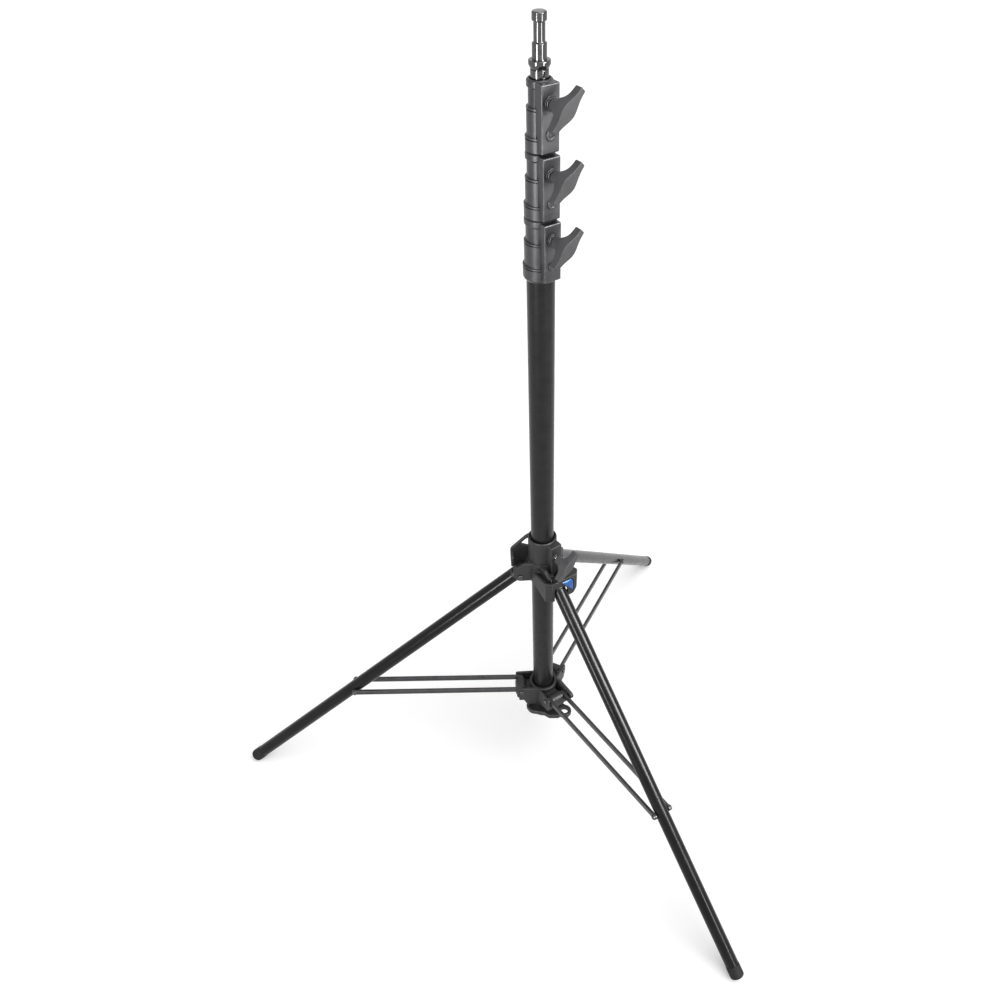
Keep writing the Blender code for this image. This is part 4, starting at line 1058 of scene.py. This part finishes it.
def lowLoop():
    # a stem and a ring beside the flange
    sizes = lowSizes
    low, high = (level * mm for level in lowLevels["flange"])
    trim = sizes["loopTrim"]
    stem = block((sizes["loopRoot"], sizes["loopReach"]), (-sizes["loopHalf"], sizes["loopHalf"]),
                 (low + trim, high - trim), 0.8 * mm, trim)
    ring = rod(sizes["loopRadius"], high - low, sizes["loopSides"], sizes["loopRound"])
    return stem, moved(ring, Matrix.Translation((sizes["loopReach"], 0, low)))


def lowBarrel(low):
    sizes = lowSizes
    rim = sizes["rim"]
    radius = sizes["radius"]
    wide = radius + sizes["rimOut"]
    path = [(0, low), (radius - 3 * mm, low, 1 * mm), (radius, low + 4 * mm, 1 * mm),
            (radius, rim - sizes["rimHigh"] - 0.8 * mm, 0.5 * mm), (wide, rim - sizes["rimHigh"], 0.4 * mm),
            (wide, rim - 0.8 * mm, 0.8 * mm), (wide - 1.4 * mm, rim, 0.5 * mm), (0, rim)]
    return turned(eased(path), sizes["sides"])


def makeBraceHub():
    sizes = lowSizes
    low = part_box("brace_hub")[0].z
    places = {tag: mastPlace.inverted() @ armPlace(tag) for tag in legTags}
    steps = [("UNION", moved(shape, places[tag])) for tag in legTags for shape in lowArm()]
    thumb = sideSlab(lowOutlines["thumb"], lowLevels["thumb"], sizes["soft"])
    gusset = sideSlab(lowOutlines["gusset"], lowLevels["gusset"], sizes["edge"])
    steps += [("UNION", moved(thumb, places["front"])), ("UNION", moved(grownRibs(), places["front"])),
              ("UNION", moved(gusset, places["left"])),
              ("UNION", flatSlab(lowOutlines["flange"], lowLevels["flange"], sizes["soft"]))]
    loopTurn = Matrix.Rotation(math.radians(sizes["loopAzimuth"]), 4, "Z")
    steps += [("UNION", moved(shape, loopTurn)) for shape in lowLoop()]
    steps.append(("DIFFERENCE", flatSlab(lowOutlines["well"], lowLevels["well"], 0)))
    hole = rod(sizes["loopHole"], sizes["holeLong"], sizes["holeSides"])
    spot = Matrix.Translation((sizes["loopReach"], 0, lowLevels["flange"][0] * mm - sizes["holeUnder"]))
    steps.append(("DIFFERENCE", moved(hole, loopTurn @ spot)))
    tube = radiusOf("base_tube")
    rim, over = sizes["rim"], sizes["over"]
    grip = tube + sizes["fit"]
    mouth = tube + sizes["mouth"]
    bore = [(0, low - over), (grip, low - over), (grip, rim - sizes["sink"]), (mouth, rim - 1 * mm),
            (mouth, rim + over), (0, rim + over)]
    steps.append(("DIFFERENCE", turned(bore, sizes["sides"])))
    work = combine(lowBarrel(low), steps)
    addPiece("braceHub", meshFrom(work, "braceHub"), hubPlastic, mastPlace, ["brace_hub"])


makeBraceHub()
print("brace hub made")

# brace bars, rivets, pins and knuckles

barSizes = lengths(half=4.75, edge=1.0) | {"steps": 14}
rivetSizes = lengths(Shank=2.5, Head=4.2, Rise=2.4, Inner=11.8, Grip=5.15)
pinSizes = lengths(radius=2.4, head=4.2, rise=2.2, round=1.5, rim=0.2) | {"sides": 36}


def stadium(start, end, half, steps):
    outline = []
    for middle, turn in ((start, 90), (end, -90)):
        for step in range(steps + 1):
            angle = math.radians(turn + 180 * step / steps)
            outline.append((middle + half * math.cos(angle), half * math.sin(angle)))
    return outline


def makeBraces(tag):
    sizes = barSizes
    side = Vector(joints["brace_fold_" + tag]["axis"]).normalized()
    for mark in ("a", "b"):
        node = "brace_%s_%s" % (tag, mark)
        place, start, end = barPlace(node, "brace_fold_" + tag)
        first, last = spanOf(node, place.translation, side)
        outline = stadium(start + sizes["half"], end - sizes["half"], sizes["half"], sizes["steps"])
        work = slab(outline, first, last, sizes["edge"])
        addPiece("braceBar.%s.%s" % (tag, mark), meshFrom(work, "braceBar"), barEnamel, place, [node])
    place = place @ Matrix.Translation((end - sizes["half"], 0, 0))
    mesh = grow(rivetTree, blackZinc, rivetSizes)
    nodes = ["brace_rivet_%s_%s" % (tag, mark) for mark in ("a", "b")]
    addPiece("braceRivets." + tag, mesh, blackZinc, place, nodes)


def makePin(name, node, joint):
    sizes = pinSizes
    pivot = Vector(joints[joint]["pos_m"])
    side = Vector(joints[joint]["axis"]).normalized()
    first, last = spanOf(node, pivot, side)
    near, far = first + sizes["rise"], last - sizes["rise"]
    path = [(0, first), (sizes["head"], first, sizes["round"]), (sizes["head"], near, sizes["rim"]),
            (sizes["radius"], near), (sizes["radius"], far), (sizes["head"], far, sizes["rim"]),
            (sizes["head"], last, sizes["round"]), (0, last)]
    outward = side.cross(upward)
    turn = Matrix((outward, side.cross(outward), side)).transposed()
    place = Matrix.Translation(pivot) @ turn.to_4x4()
    mesh = meshFrom(turned(eased(path, steps=6), sizes["sides"]), name)
    addPiece(name, mesh, blackZinc, place, [node])


knuckleSizes = lengths(
    eye=9.0, half=10.4, collar=11.0, spigot=9.2, hole=2.8, lead=5, gap=0.2, neck=2, edge=0.8, holeLong=40,
    limit=60) | {"steps": 16, "sides": 64, "holeSides": 32}


def makeKnuckle(tag):
    # the moulded end of a leg, turning on the hub's pin
    sizes = knuckleSizes
    place, start = barPlace("leg_tube_" + tag, "leg_fold_" + tag)[:2]
    far = barPlace("leg_knuckle_" + tag, "leg_fold_" + tag)[2]
    lead, rest, neck = (start - sizes[key] for key in ("lead", "gap", "neck"))
    body = [(0, lead), (sizes["collar"], lead, 1 * mm), (sizes["collar"], rest, 0.3 * mm),
            (sizes["spigot"], rest), (sizes["spigot"], far), (0, far)]
    outline = stadium(0, start, sizes["eye"], sizes["steps"])[:sizes["steps"] + 1]
    outline += [(neck, -sizes["eye"]), (neck, sizes["eye"])]
    eye = slab(outline, -sizes["half"], sizes["half"], sizes["edge"])
    limit = rod(sizes["collar"], sizes["limit"], sizes["sides"])
    eye = combine(eye, [("INTERSECT", pointing(limit, "X", (-sizes["limit"] / 2, 0, 0)))])
    hole = rod(sizes["hole"], sizes["holeLong"], sizes["holeSides"])
    hole = pointing(hole, "Y", (0, -sizes["holeLong"] / 2, 0))
    body = moved(turned(eased(body), sizes["sides"]), alongX)
    work = combine(body, [("UNION", eye), ("DIFFERENCE", hole)])
    addPiece("legKnuckle." + tag, meshFrom(work, "legKnuckle"), hubPlastic, place, ["leg_knuckle_" + tag])


for tag in legTags:
    makeBraces(tag)
    makePin("legPin." + tag, "leg_pin_" + tag, "leg_fold_" + tag)
    makePin("bracePin." + tag, "brace_pin_" + tag, "brace_fold_" + tag)
    makeKnuckle(tag)

# hidden pieces keep their solids and get a finish

kept = {"base_plug": hubPlastic, "riser_glide_1": glideNylon, "riser_glide_2": glideNylon,
        "riser_glide_3": glideNylon}
for node, finish in kept.items():
    frame["nodes"][node].data.materials.clear()
    frame["nodes"][node].data.materials.append(finish)
print("braces, pins and knuckles made")

# floor, light and camera

stageSizes = {"floor": 90.0, "sides": 128, "drop": 0.3 * mm, "floorColour": (0.88, 0.88, 0.88),
              "floorRough": 0.9, "lift": 0.22, "fill": 0.5}


def seenShare(tree):
    # one where the camera, a reflection or clear glass looks at the background
    light = tree.nodes.new("ShaderNodeLightPath").outputs
    seen = addMath(tree, "MAXIMUM", light["Is Camera Ray"], light["Is Glossy Ray"])
    return addMath(tree, "MAXIMUM", seen, light["Is Transmission Ray"])


def makeFloor():
    work = bmesh.new()
    bmesh.ops.create_circle(work, cap_ends=True, segments=stageSizes["sides"], radius=stageSizes["floor"])
    floor = looseObject("floor", work)
    floor.location = (mast.x, 0, -stageSizes["drop"])
    paper = bpy.data.materials.new("palePaper")
    paper.use_nodes = True
    tree = paper.node_tree
    shader = tree.nodes["Principled BSDF"]
    shader.inputs["Base Color"].default_value = (*stageSizes["floorColour"], 1)
    shader.inputs["Roughness"].default_value = stageSizes["floorRough"]
    shader.inputs["Specular IOR Level"].default_value = 0.0
    shader.inputs["Emission Color"].default_value = (1, 1, 1, 1)
    lift = addMath(tree, "MULTIPLY", seenShare(tree), stageSizes["lift"])
    tree.links.new(lift, shader.inputs["Emission Strength"])
    floor.data.materials.append(paper)


def makeWorld():
    world = bpy.data.worlds.new("studio")
    world.use_nodes = True
    tree = world.node_tree
    sky = tree.nodes["Background"]
    sky.inputs["Color"].default_value = (1, 1, 1, 1)
    # white where it is looked at or reflected, and a plain soft fill on the object
    more = addMath(tree, "MULTIPLY", seenShare(tree), 1 - stageSizes["fill"])
    tree.links.new(addMath(tree, "ADD", more, stageSizes["fill"]), sky.inputs["Strength"])
    bpy.context.scene.world = world


# place from the mast, aim height and strength; the wide sun lights all, the panels show only as gloss
lamps = {
    "skyLamp": {"spot": (1.1, -1.1, 2.6), "aim": 0.0, "angle": 60, "strength": 2.0},
    "panelLeft": {"spot": (-1.0, -1.2, 1.45), "aim": 0.5, "panel": (0.25, 0.9), "strength": 24},
    "panelRight": {"spot": (1.25, -1.0, 1.4), "aim": 0.4, "panel": (0.75, 0.9), "strength": 70},
    "panelLow": {"spot": (-1.2, -1.35, 0.6), "aim": 0.55, "panel": (0.35, 0.4), "strength": 14},
    "panelLowRight": {"spot": (1.15, -1.35, 0.65), "aim": 0.6, "panel": (0.3, 0.4), "strength": 6},
}


def makeLamps():
    for name, lamp in lamps.items():
        wide = "angle" in lamp
        light = bpy.data.lights.new(name, "SUN" if wide else "AREA")
        if wide:
            light.angle = math.radians(lamp["angle"])
        else:
            light.shape = "RECTANGLE"
            light.size, light.size_y = lamp["panel"]
        light.energy = lamp["strength"]
        made = bpy.data.objects.new(name, light)
        bpy.context.scene.collection.objects.link(made)
        made.visible_diffuse = wide
        made.location = mast + Vector(lamp["spot"])
        aim = mast + Vector((0, 0, lamp["aim"])) - made.location
        made.rotation_euler = aim.to_track_quat("-Z", "Y").to_euler()
        made.visible_camera = False


viewSizes = {"spot": (-0.067625, -1.029734, 1.479166), "heading": 3.745, "pitch": 45.13, "roll": -0.35,
             "focal": 906.454, "centre": (542.449, 580.598), "image": 994, "sensor": 36, "clip": (0.01, 100)}


def makeCamera():
    view = viewSizes
    heading, pitch, roll = (math.radians(view[key]) for key in ("heading", "pitch", "roll"))
    level = math.cos(pitch)
    ahead = Vector((math.sin(heading) * level, math.cos(heading) * level, -math.sin(pitch)))
    right = Vector((math.cos(heading), -math.sin(heading), 0))
    above = right.cross(ahead)
    tilted = right * math.cos(roll) + above * math.sin(roll)
    above = above * math.cos(roll) - right * math.sin(roll)
    turn = Matrix((tilted, above, -ahead)).transposed()
    data = bpy.data.cameras.new("camera")
    data.sensor_width = view["sensor"]
    data.lens = view["sensor"] * view["focal"] / view["image"]
    data.shift_x = 0.5 - view["centre"][0] / view["image"]
    data.shift_y = view["centre"][1] / view["image"] - 0.5
    data.clip_start, data.clip_end = view["clip"]
    camera = bpy.data.objects.new("camera", data)
    bpy.context.scene.collection.objects.link(camera)
    camera.matrix_world = Matrix.Translation(mast + Vector(view["spot"])) @ turn.to_4x4()
    bpy.context.scene.camera = camera


makeFloor()
makeWorld()
makeLamps()
makeCamera()
bpy.context.scene.view_settings.view_transform = "Standard"

print("scene ready")
